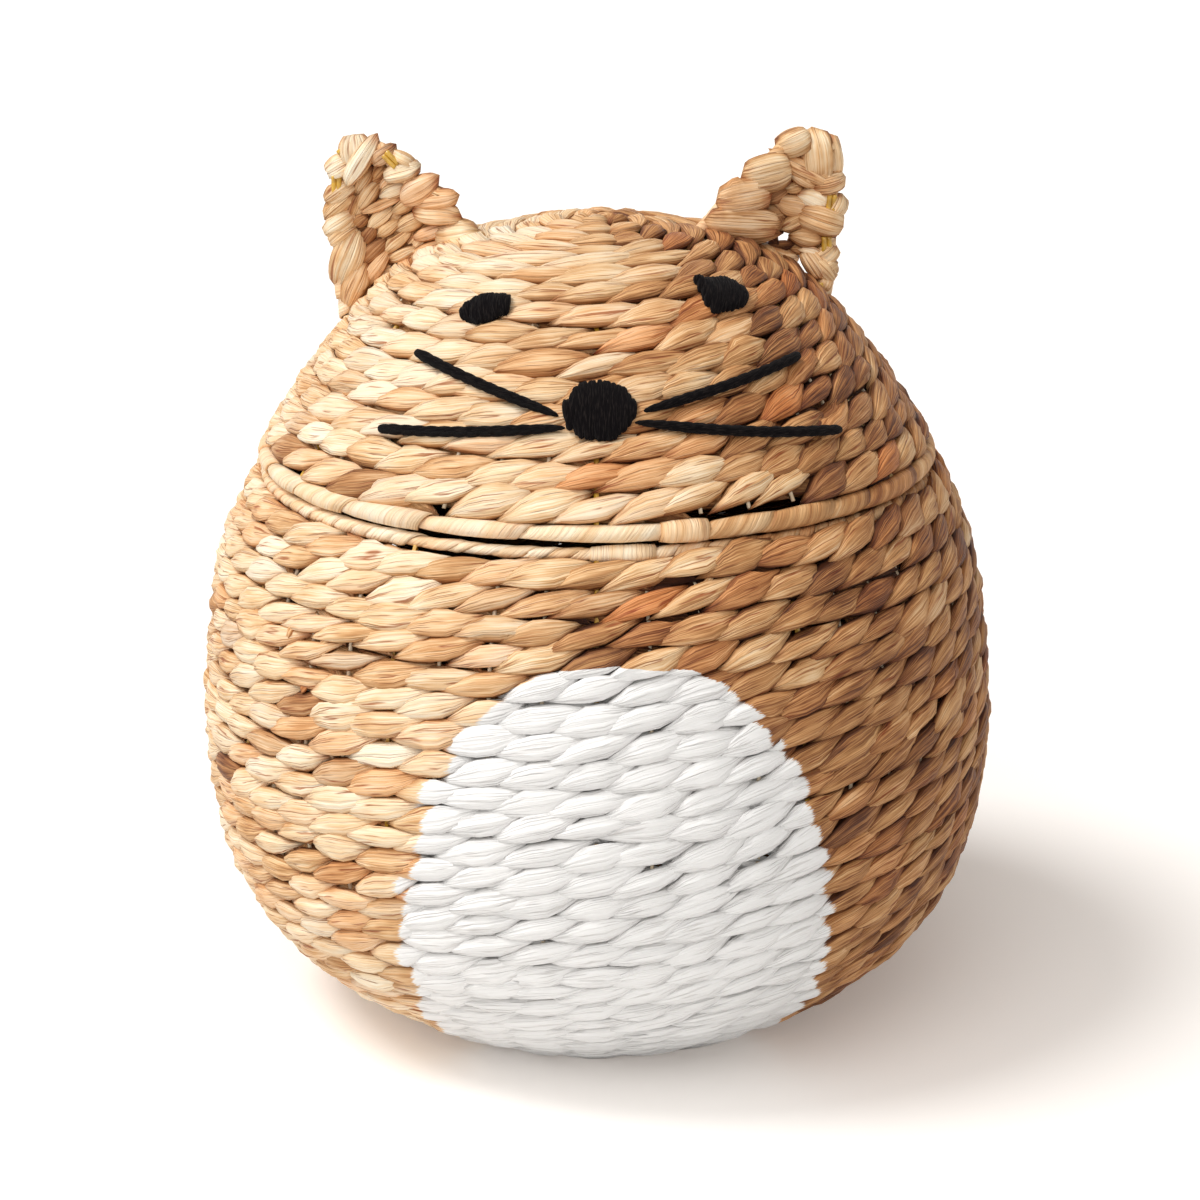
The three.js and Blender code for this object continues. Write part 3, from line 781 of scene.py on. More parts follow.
@dataclass
class WovenWall:
    """A wall of twined rows on a turned surface, with strands outside and inside."""

    name: str
    body: Body
    surface: TurnedSurface
    rows: int
    thickness: float
    counts: tuple[tuple[float, int], ...]  # lobes in a row whose radius is at least the first number
    seed: int
    # tone of the strands by degrees from the front: their own colour, with painted light on the left and
    # painted shade on the right
    tone_and_shade_by_angle: tuple[Point, ...] = ((-180.0, 0.45), (-100.0, 0.3), (0.0, 0.4), (100.0, 0.5), (180.0, 0.45))
    accents: tuple[Quad, ...] = ()  # angle, height, tone and hue
    slits: tuple[Point, ...] = ()  # angles between which the first row stands off
    raised: Point | None = None  # angles between which the last row laps over the hoop
    ends: tuple[Triple, ...] = ()  # angle, height and turn of loose strand ends
    steeper: tuple[Point, ...] = ((-60, 0.9), (0, 1.0), (40, 1.15), (110, 1.15), (180, 1.05))  # by angle
    slant: float = 0.16
    bend: float = 0.54  # of the tips, in half rows
    spread: float = 2.08  # length of a lobe in spaces between stakes
    depth: float = 2.9
    sway: Point = (0.7, 0.5)  # height of a row's three long and seven short waves
    jitter: float = 0.35  # unevenness of a strand's place up the wall
    end_room: float = 17.0  # distance within which strands give way to a loose end
    slit_rise: float = 3.0  # how far the first row stands off at a slit
    tone_spread: float = 0.095
    dark_share: float = 0.05  # of the strands, which are darker than their neighbours
    odd_share: float = 0.04  # of the strands, which have a hue of their own
    raised_up: Triple = (3.8, 2.3, 1.0)  # how far the last rows move up where they lap over the hoop
    raised_out: Triple = (2.2, 0.9, 0.3)  # and how far out
    painted: bool = False

    def lobes(self, side: Side) -> Lobes:
        """Lays out the lobes of one side.

        Args:
            side: Outer or inner side of the wall.

        Returns:
            All lobes of that side, row by row.
        """
        random = np.random.default_rng(self.seed + (side is Side.INNER))
        pitch = self.surface.length / self.rows
        parts = []
        for row in range(self.rows):
            arc = (row + 0.5) * pitch
            radius = float(self.surface.section(np.array(arc), -self.thickness / 2)[0])
            count = next(count for least, count in self.counts if radius >= least)
            parts.append(self._row(side, arc, pitch, count, radius, random))
        lobes = Lobes.joined(parts)
        if side is Side.OUTER:
            self._mark(lobes)
            if self.ends:
                lobes = Lobes.joined([lobes, self._loose_ends()])
        return lobes

    def _loose_ends(self) -> Lobes:
        """Lays out the shrivelled ends where one strand stops and the next begins.

        Returns:
            The ends, which lie over the other lobes.
        """
        rows = np.array(self.ends)
        count = len(rows)
        random = np.random.default_rng(self.seed + 7)
        arc = self.surface.arc_at_height(rows[:, 1]) + random.normal(0, 0.6, count)
        return Lobes(
            anchor=np.stack([np.radians(rows[:, 0]), arc], axis=1),
            turn=0.6 * np.radians(rows[:, 2]) + random.normal(0, 0.12, count),
            half_length=random.normal(4.4, 0.4, count),
            half_width=random.normal(1.9, 0.2, count),
            half_depth=random.normal(1.2, 0.1, count),
            out=random.normal(-1.9, 0.2, count),
            dive=np.abs(random.normal(1.6, 0.3, (count, 2))),
            tone=random.normal(0.56, 0.06, count),
            hue=random.normal(0.3, 0.3, count),
            taper=0.9,
            reach=np.full(count, UNPAINTED) if self.painted else None,
        )

    def _mark(self, lobes: Lobes) -> None:
        """Gives the strands that stand out in the wall their own tone and hue.

        Args:
            lobes: Lobes of the outer side, which are changed.
        """
        radius, height = self.surface.section(lobes.anchor[:, 1])
        front = from_front(lobes.anchor[:, 0])
        for angle, level, tone, hue in self.accents:
            nearest = int(np.argmin(np.hypot((front - math.radians(angle)) * radius, height - level)))
            lobes.tone[nearest] = tone
            lobes.hue[nearest] = hue
        for angle, level, _ in self.ends:
            apart = np.hypot((front - math.radians(angle)) * radius, height - level)
            lobes.half_width[apart < self.end_room] *= 0.84

    def _row(
        self, side: Side, arc: float, pitch: float, count: int, radius: float, random: Generator
    ) -> Lobes:
        """Lays out one row of lobes.

        Args:
            side: Side of the wall.
            arc: Place of the row along the outline.
            pitch: Distance between two rows.
            count: Number of lobes.
            radius: Radius of the row.
            random: Source of their unevenness.

        Returns:
            The lobes, from the front on round.
        """
        space = FULL_TURN * radius / count
        angle = FULL_TURN * (np.arange(count) + random.normal(0, 0.045, count)) / count
        wave = random.uniform(0, FULL_TURN, 2)
        sway = self.sway[0] * np.sin(3 * angle + wave[0]) + self.sway[1] * np.sin(7 * angle + wave[1])
        place = arc + sway + random.normal(0, self.jitter, count)
        full = np.clip(random.normal(1.0, 0.08, count), 0.78, 1.16)
        front = from_front(angle)
        # the strands' tone, with painted side light and shade by angle
        tone = by_angle(front, self.tone_and_shade_by_angle) + random.normal(0, self.tone_spread, count)
        tone = tone + (random.random(count) < self.dark_share) * random.uniform(0.05, 0.2, count)
        tone = np.minimum(tone, DARKEST)
        hue = random.normal(0.05, 0.2, count)
        hue = np.where(random.random(count) < self.odd_share, random.uniform(-0.8, 1, count), hue)
        steeper = by_angle(front, self.steeper)
        slant = random.normal(self.slant, 0.05, count) * steeper * side.value
        bend = random.normal(self.bend, 0.14, count) * steeper * side.value * 0.5 * pitch
        half = 0.5 * self.spread * space * random.normal(1.0, 0.07, count)
        width = 0.5 * pitch * 1.02 * full
        out = -self.thickness / 2 + side.value * (self.depth + random.normal(0, 0.25, count))
        if arc < pitch:
            for low, high in self.slits:
                inside = (front > math.radians(low)) & (front < math.radians(high))
                width = np.where(inside, width * 0.8, width)
                place = np.where(inside, place + self.slit_rise, place)
        below = round((self.surface.length - arc) / pitch - 0.5)
        if self.raised and below < len(self.raised_up):
            low, high = np.radians(self.raised)
            share = np.clip(np.minimum(front - low, high - front) / 0.06, 0, 1)
            place = place + self.raised_up[below] * share
            out = out + self.raised_out[below] * share
            width = width * (1 + 0.06 * share)
        return Lobes(
            anchor=np.stack([angle, place], axis=1),
            turn=np.arctan(slant),
            half_length=half / np.cos(np.arctan(slant)),
            half_width=width,
            half_depth=self.depth * random.normal(1.15, 0.08, count),
            out=out,
            dive=side.value * np.abs(random.normal([2.2, 4.0], 0.5, (count, 2))),
            tone=tone,
            hue=hue,
            taper=1.4,
            bend=bend,
            late=3.0,
            reach=random.normal(0, 2.2, count) if self.painted else None,
        )

    def dress(
        self, names: tuple[str, str], shapers: tuple[LobeShaper, LobeShaper], material: Material
    ) -> None:
        """Makes the strands of both sides, the outer ones in place of the model's wall.

        Args:
            names: Names of the outer and the inner piece.
            shapers: What shapes the outer and the inner lobes.
            material: Finish of the strands.
        """
        slot = Slot.BODY_STRANDS if self.body is Body.BASKET else Slot.LID_STRANDS
        for side, name, shaper, nodes in zip(Side, names, shapers, ([f"{self.name}_weave"], [])):
            piece = shaper.make(self.lobes(side), self.surface, name, material)
            settle(piece, self.body, slot, *nodes)

    def add_stakes(self, count: int, skipped: int, start: float, material: Material) -> None:
        """Makes the thin white uprights between the yellow ones.

        Args:
            count: Uprights in the whole wall, the yellow ones among them.
            skipped: Every so many, a yellow one stands there already.
            start: Place along the outline at which they start.
            material: Their finish.
        """
        angles = [FULL_TURN * i / count for i in range(count) if i % skipped]
        arc = np.linspace(start, self.surface.length - 1.0, 17)
        radius, height = self.surface.section(arc, -self.thickness / 2)
        rods = Rods(paths=[turned(radius, angle, height) for angle in angles], radius=1.0, sides=6)
        settle(rods.make(f"{self.name}_white_stakes", material), self.body, Slot.FRAME_WIRE)


@dataclass
class Rods:
    """Round rods along paths that all have the same number of points."""

    paths: list[Array]
    radius: float
    sides: int = 8
    tapers: Point = (0.0, 0.0)  # shares of the length over which the ends narrow
    apart: float = 37.0  # distance between two rods in the strand map

    def make(self, name: str, material: Material) -> Piece:
        """Makes one piece from the rods.

        Args:
            name: Name of the piece.
            material: Its finish.

        Returns:
            The piece, not yet riding on a body.
        """
        paths = np.array(self.paths)
        steps = paths.shape[1] - 1
        template = bmesh.new()
        bmesh.ops.create_cone(
            template, cap_ends=True, segments=self.sides, radius1=1.0, radius2=1.0, depth=1.0
        )
        uprights = [e for e in template.edges if abs(e.verts[0].co.z - e.verts[1].co.z) > 0.5]
        bmesh.ops.subdivide_edges(template, edges=uprights, cuts=steps - 1, use_grid_fill=True)
        mesh, shape = repeated(template, len(paths), name)
        station = np.clip(np.round((shape[:, 2] + 0.5) * steps).astype(int), 0, steps)
        tangent = unit(np.gradient(paths, axis=1))
        helper = np.where(np.abs(tangent[..., 2:3]) > 0.7, [0.0, 1.0, 0.0], UP)
        first = unit(np.cross(tangent, helper))
        second = np.cross(tangent, first)
        share = station / steps
        narrow = np.ones(len(shape))
        if min(self.tapers) > 0:
            near = np.clip(np.minimum(share / self.tapers[0], (1 - share) / self.tapers[1]), 0, 1)
            narrow = 0.15 + 0.85 * np.sqrt(1 - (1 - near) ** 2)
        offset = self.radius * narrow[None, :, None]
        points = (
            paths[:, station]
            + offset * shape[None, :, 0:1] * first[:, station]
            + offset * shape[None, :, 1:2] * second[:, station]
        )
        length = np.linalg.norm(np.diff(paths, axis=1), axis=2).sum(axis=1)
        angle = np.arctan2(shape[:, 1], shape[:, 0])
        apart = np.arange(len(paths))[:, None] * self.apart
        write_map(mesh, length[:, None] * share + apart, self.radius * angle + apart)
        return finish_mesh(mesh, points, name, material)


# ---- Wound bands ----


class Spine(ABC):
    """Centre line that bands are wound round."""

    @abstractmethod
    def frames(self, station: Array) -> tuple[Array, Array, Array]:
        """Gives the point and two cross directions at places along the line in millimetres."""


@dataclass
class HoopSpine(Spine):
    """Level circle about the middle of the basket."""

    radius: float
    height: float

    def frames(self, station: Array) -> tuple[Array, Array, Array]:
        """Gives the point, the way outwards and the way up."""
        outwards = turned(1.0, station / self.radius, 0.0)
        return self.radius * outwards + self.height * UP, outwards, np.broadcast_to(UP, outwards.shape)


class EarSpine(Spine):
    """Centre line of an ear's border."""

    def __init__(self, surface: EarSurface, points: list[Point]) -> None:
        """Samples the line through points of width and height on the ear.

        Args:
            surface: Sheet of the ear.
            points: Widths and heights on it, from the inner foot to the outer.
        """
        curve = TurnedSurface(points, overrun=8.0)
        self.length = curve.length
        self.arc = curve.arc
        along, back = surface.axes()
        self.points = curve.curve[:, 0:1] * along + curve.curve[:, 1:2] * UP + np.array(surface.foot)
        self.outward = -(curve.outward[:, 0:1] * along + curve.outward[:, 1:2] * UP)
        self.front = -back

    def frames(self, station: Array) -> tuple[Array, Array, Array]:
        """Gives the point, the way out of the ear and the way to its front."""
        point, outward = (
            np.stack([np.interp(station, self.arc, values[:, i]) for i in range(3)], axis=-1)
            for values in (self.points, self.outward)
        )
        return point, unit(outward), np.broadcast_to(self.front, point.shape)


@dataclass
class Bands:
    """Strips wound once round a centre line, one entry of each array for one of them."""

    station: Array  # middle of each strip along the line
    width: Array
    radius: Array
    slant: Array  # how far a strip runs along the line in half a turn
    lift: Array  # how far its later edge lies above its earlier one
    tone: Array
    around: int = 14
    across: int = 4
    thickness: float = 0.7
    lap: float = 1.06  # length of a strip in turns, whose ends hide on the inner side
    crown: float = 0.3  # how far a strip's middle stands up
    fold: float = 0.35  # and how far its edges tuck in
    drift: float = 0.12  # unevenness along the line
    ripple: float = 0.1  # unevenness out from it
    seed: int = 3

    def make(self, spine: Spine, name: str, material: Material) -> Piece:
        """Makes one piece from the strips.

        Args:
            spine: Centre line that they are wound round.
            name: Name of the piece.
            material: Its finish.

        Returns:
            The piece, not yet riding on a body.
        """
        random = np.random.default_rng(self.seed)
        count = len(self.station)
        template = bmesh.new()
        bmesh.ops.create_grid(template, x_segments=self.around, y_segments=self.across, size=1.0)
        mesh, flat = repeated(template, count, name)
        round_share, across = flat[:, 0], flat[:, 1]
        turn = FULL_TURN + math.pi * self.lap * round_share
        size = (count, len(flat))
        station = (
            self.station[:, None]
            + self.slant[:, None] * round_share
            + 0.5 * self.width[:, None] * across
            + self.drift * random.normal(size=size)
        )
        crown = self.crown * (1 - across**2) - self.fold * np.abs(across) ** 6
        radius = self.radius[:, None] + self.lift[:, None] * 0.5 * across + crown
        radius = radius + self.ripple * random.normal(size=size)
        point, outward, sideways = spine.frames(station)
        points = point + (radius * np.cos(turn))[..., None] * outward
        points = points + (radius * np.sin(turn))[..., None] * sideways
        along, aside = random.uniform(0, MAP_SPREAD, (2, count, 1))
        write_map(mesh, turn * self.radius[:, None] + along, 0.5 * self.width[:, None] * across + aside)
        tone, hue = self.tone[:, None], random.normal(0, 0.2, (count, 1))
        write_attributes(mesh, size, tone=tone, hue=hue, tip=0.0, across=0.9 * across)
        piece = finish_mesh(mesh, points, name, material)
        solid = bmesh.new()
        solid.from_mesh(piece.data)
        bmesh.ops.solidify(solid, geom=solid.faces[:], thickness=self.thickness * MM)
        solid.to_mesh(piece.data)
        solid.free()
        return piece


@dataclass
class WrappedHoop:
    """A wire hoop wound with split strands."""

    name: str
    body: Body
    radius: float
    height: float
    wrap_radius: float
    strip_width: float
    seams: tuple[float, ...]  # angles of the seams that the photograph shows, from left to right
    broad: float  # angle of a smooth pale strip
    node: str
    seed: int
    # tone of the strips by degrees from the front: their own colour, with painted light on the front left and
    # painted shade on the right
    tone_and_shade_by_angle: tuple[Point, ...] = (
        (-180.0, 0.42), (-100.0, 0.27), (-30.0, 0.2), (8.0, 0.295), (25.0, 0.55), (60.0, 0.64),
        (180.0, 0.42),
    )
    tilt: float = 0.3  # how far a strip runs along the hoop in half a turn, in strip widths
    slim: Point = (-30.0, 0.0)  # angles between which the hoops stand a little apart
    slimmer: float = 0.8  # how much flatter the winding is there
    overlap: float = 3.4  # how much wider a strip is than the distance between its seams
    proud: float = 0.55  # how far the smooth pale strip stands out

    def dress(self, material: Material) -> None:
        """Makes the winding and puts it in place of the model's plain one.

        Args:
            material: Finish of the strands.
        """
        random = np.random.default_rng(self.seed)
        station, width = self._spans(random)
        count = len(station)
        angle = from_front(station / self.radius)
        # the strips' tone, with painted side light and shade by angle
        tone = by_angle(angle, self.tone_and_shade_by_angle) + random.normal(0, 0.06, count)
        bands = Bands(
            station=station,
            width=width + self.overlap,
            radius=self.wrap_radius + random.normal(0, 0.12, count),
            slant=self.strip_width * random.normal(self.tilt, 0.12, count),
            lift=random.normal(0.8, 0.12, count),
            tone=tone,
            seed=self.seed,
        )
        low, high = self.slim
        bands.radius[(angle > math.radians(low)) & (angle < math.radians(high))] -= self.slimmer
        nearest = int(np.argmin(np.abs(angle - math.radians(self.broad))))
        bands.radius[nearest] += self.proud
        bands.slant[nearest] = 0.6
        bands.tone[nearest] -= 0.03
        piece = bands.make(HoopSpine(self.radius, self.height), self.name, material)
        settle(piece, self.body, Slot.HOOP_WRAP, self.node)

    def _spans(self, random: Generator) -> tuple[Array, Array]:
        """Gives each strip's middle and width along the hoop, with the photograph's seams at the front.

        Args:
            random: Source of the other strips' unevenness.

        Returns:
            Middles and widths in millimetres.
        """
        first, last = self.seams[0], self.seams[-1]
        share = math.radians(360.0 - (last - first))
        count = round(share * self.radius / self.strip_width)
        steps = np.arange(count + 1) + np.concatenate([[0.0], random.normal(0, 0.2, count - 1), [0.0]])
        angles = np.concatenate([np.radians(self.seams[:-1]), math.radians(last) + share * steps / count])
        angles[-1] = math.radians(first) + FULL_TURN
        return self.radius * (angles[:-1] + angles[1:]) / 2, self.radius * np.diff(angles)


# ---- Sub-assemblies ----


def on_line(start: Point, end: Point, shares: tuple[Point, ...]) -> list[Point]:
    """Gives points at shares of the way outwards and upwards from one corner to another.

    Args:
        start: First corner.
        end: Second corner.
        shares: Share outwards and share upwards of each point.

    Returns:
        The points.
    """
    return [
        (start[0] + (end[0] - start[0]) * outwards, start[1] + (end[1] - start[1]) * upwards)
        for outwards, upwards in shares
    ]


class Finishes:
    """All finishes of the basket, made once."""

    def __init__(self) -> None:
        """Makes the materials."""
        self.body = HyacinthFinish("twined_hyacinth_painted_belly", painted=True).make()
        self.lid = HyacinthFinish("twined_hyacinth").make()
        wrap = HyacinthFinish("split_hyacinth_winding", blotch_width=7.0, relief=0.6, contrast=0.45)
        self.wrap = wrap.make()
        ear = HyacinthFinish("broad_hyacinth", pleat_width=1.2, blotch_length=16.0, contrast=0.9)
        self.ear = ear.make()
        self.wire = LacqueredWire().make()
        self.white_wire = LacqueredWire("cream_paper_wire", "#ead9bd", "#c9b08a", roughness=0.6).make()
        self.yarn = WoolYarn().make()


@dataclass
class BasketBody:
    """Pear-shaped body: twined wall, woven base, uprights and rim hoop."""

    foot: Point = (98.65, 0.0)
    belly: Point = (196.0, 148.0)
    bend: Point = (171.41, 267.97)
    edge: Point = (167.91, 274.03)
    belly_shares: tuple[Point, ...] = ((0.3, 0.112), (0.66, 0.3), (0.897, 0.56))
    neck_shares: tuple[Point, ...] = ((0.195, 0.468), (0.44, 0.754))
    rows: int = 25
    thickness: float = 11.0
    base_radius: float = 93.7
    base_thickness: float = 10.0
    rim_radius: float = 161.0
    rim_height: float = 275.0
    rim_wrap_radius: float = 4.0

    def wall(self) -> WovenWall:
        """Lays out the twined wall.

        Returns:
            The wall, from the foot to the mouth.
        """
        lower = [self.foot, *on_line(self.foot, self.belly, self.belly_shares), self.belly]
        upper = [*on_line(self.belly, self.bend, self.neck_shares), self.bend, self.edge]
        return WovenWall(
            name="body",
            body=Body.BASKET,
            surface=TurnedSurface(lower + upper),
            rows=self.rows,
            thickness=self.thickness,
            counts=((162.0, 48), (121.5, 36), (0.0, 24)),
            seed=11,
            painted=True,
            raised=(7.0, 130.0),
            ends=(
                (16.6, 264.0, 65.0), (-0.6, 256.0, 60.0), (-49.0, 226.0, 75.0), (-41.5, 228.0, 65.0),
                (-45.0, 202.0, 70.0), (150.0, 190.0, 60.0), (-140.0, 120.0, 65.0),
            ),
            # own tone, with painted light on the left and painted shade on the right
            tone_and_shade_by_angle=(
                (-180.0, 0.5), (-110.0, 0.4), (-60.0, 0.31), (-30.0, 0.275), (-14.0, 0.38), (-5.0, 0.52),
                (4.0, 0.65), (18.0, 0.7), (35.0, 0.705), (60.0, 0.73), (110.0, 0.68), (180.0, 0.5),
            ),
            accents=(
                (-40.8, 169.2, 0.46, -0.7), (-55.5, 170.1, 0.5, -0.6), (-47.3, 200.2, 0.62, -0.8),
                (-22.3, 242.7, 0.42, 0.2), (-28.3, 217.8, 0.46, 0.2), (-63.5, 146.4, 0.7, -0.9),
                (10.7, 262.1, 0.58, 1.0), (22.7, 263.7, 0.74, 0.5), (1.2, 256.6, 0.56, -0.7),
                (6.5, 274.0, 0.42, 0.0), (16.2, 274.0, 0.44, 0.0), (57.4, 270.8, 0.6, -0.9),
                (43.2, 227.2, 0.8, 0.0), (22.6, 227.5, 0.52, 0.0), (56.2, 235.6, 0.5, -0.6),
            ),
        )

    def base(self) -> WovenWall:
        """Lays out the flat base, from its middle to its rim.

        Returns:
            The base, whose outer side is the one underneath.
        """
        return WovenWall(
            name="base",
            body=Body.BASKET,
            surface=TurnedSurface([(3.0, 1.0), (30.0, 1.0), (60.0, 1.0), (self.base_radius, 1.0)]),
            rows=7,
            thickness=self.base_thickness - 1.0,
            depth=2.4,
            counts=((66.0, 24), (40.0, 18), (20.0, 12), (0.0, 6)),
            seed=31,
        )

    def dress(self, finishes: Finishes) -> None:
        """Makes every piece of the body.

        Args:
            finishes: The basket's finishes.
        """
        fine, coarse = LobeShaper(flatness=0.62, seed=101), LobeShaper(around=8, flatness=0.62, seed=102)
        wall = self.wall()
        wall.dress(("body_outer_strands", "body_inner_strands"), (fine, coarse), finishes.body)
        wall.add_stakes(48, 4, 60.0, finishes.white_wire)
        plain = LobeShaper(around=8, seed=103)
        self.base().dress(("base_under_strands", "base_top_strands"), (plain, plain), finishes.lid)
        WrappedHoop(
            name="rim_hoop_strips",
            body=Body.BASKET,
            radius=self.rim_radius,
            height=self.rim_height,
            wrap_radius=self.rim_wrap_radius - 0.7,
            strip_width=10.8,
            tilt=1.0,
            seams=(-8.0, -4.2, -0.4, 8.6),
            broad=4.0,
            seed=41,
            node="rim_hoop_wrap",
        ).dress(finishes.wrap)


@dataclass
class BasketLid:
    """Domed lid: twined wall, crown and hoop."""

    base: float = 284.3  # height of the lid hoop's centre line
    crown: Point = (26.15, 110.0)
    bend: Point = (159.15, 13.35)
    edge: Point = (162.86, 7.41)
    dome_shares: tuple[Point, ...] = (
        (0.272, 0.073), (0.5, 0.204), (0.66, 0.396), (0.794, 0.608), (0.91, 0.82),
    )
    rows: int = 13
    thickness: float = 11.0
    hoop_radius: float = 161.0
    wrap_radius: float = 5.0

    def surface(self) -> TurnedSurface:
        """Gives the dome's outside, from the hoop up to the crown."""
        outline = [self.crown, *on_line(self.crown, self.bend, self.dome_shares), self.bend, self.edge]
        return TurnedSurface([(radius, height + self.base) for radius, height in reversed(outline)])

    def wall(self) -> WovenWall:
        """Lays out the twined dome.

        Returns:
            The wall, from the hoop to the crown.
        """
        return WovenWall(
            name="lid",
            body=Body.LID,
            surface=self.surface(),
            rows=self.rows,
            thickness=self.thickness,
            counts=((141.7, 42), (121.5, 36), (101.2, 30), (81.0, 24), (60.7, 18), (0.0, 12)),
            seed=21,
            # own tone, with painted light on the left and painted shade on the right
            tone_and_shade_by_angle=(
                (-180.0, 0.46), (-90.0, 0.29), (-40.0, 0.2), (-5.0, 0.37), (12.0, 0.475), (30.0, 0.56),
                (50.0, 0.73), (90.0, 0.77), (130.0, 0.6), (180.0, 0.46),
            ),
            accents=(
                (46.5, 300.3, 0.8, -0.8), (55.8, 322.7, 0.72, -0.8), (40.6, 333.2, 0.6, 1.0),
                (42.0, 383.4, 0.64, -0.7), (7.2, 357.0, 0.42, 0.8), (-38.8, 301.2, 0.6, -0.6),
                (-65.2, 301.5, 0.55, -0.8), (-56.7, 301.5, 0.38, 0.3), (-59.2, 335.1, 0.34, -0.5),
                (-69.9, 323.8, 0.36, -0.3), (-39.6, 336.4, 0.44, 0.3), (-68.3, 349.4, 0.4, 0.0),
                (-33.6, 359.8, 0.36, -0.5), (7.5, 314.1, 0.48, 0.4), (18.7, 320.4, 0.54, 0.5),
            ),
            slits=((-29.5, -20.0), (14.0, 41.0)),
            ends=((-1.6, 312.5, 60.0), (-3.7, 361.0, 110.0)),
        )

    def crown_wall(self) -> WovenWall:
        """Lays out the button of strands at the crown.

        Returns:
            The button, from its rim to its middle.
        """
        top = self.base + self.crown[1]
        return WovenWall(
            name="crown",
            body=Body.LID,
            surface=TurnedSurface([(27.4, top - 0.2), (14.5, top + 1.8), (1.0, top + 2.4)]),
            rows=2,
            thickness=9.0,
            counts=((14.0, 8), (0.0, 5)),
            seed=51,
            spread=1.8,
            bend=0.2,
        )

    def dress(self, finishes: Finishes) -> None:
        """Makes every piece of the dome.

        Args:
            finishes: The basket's finishes.
        """
        fine, coarse = LobeShaper(flatness=0.62, seed=201), LobeShaper(around=8, flatness=0.62, seed=202)
        wall = self.wall()
        wall.dress(("lid_outer_strands", "lid_inner_strands"), (fine, coarse), finishes.lid)
        wall.add_stakes(42, 7, 2.0, finishes.white_wire)
        plain = LobeShaper(seed=203)
        self.crown_wall().dress(("crown_strands", "crown_under_strands"), (plain, plain), finishes.lid)
        WrappedHoop(
            name="lid_hoop_strips",
            body=Body.LID,
            radius=self.hoop_radius,
            height=self.base,
            wrap_radius=self.wrap_radius - 0.5,
            strip_width=34.0,
            seams=(-59.0, -45.0, -29.2, -12.2, 10.5, 17.0, 27.0),
            broad=14.0,
            seed=42,
            node="lid_hoop_wrap",
        ).dress(finishes.wrap)


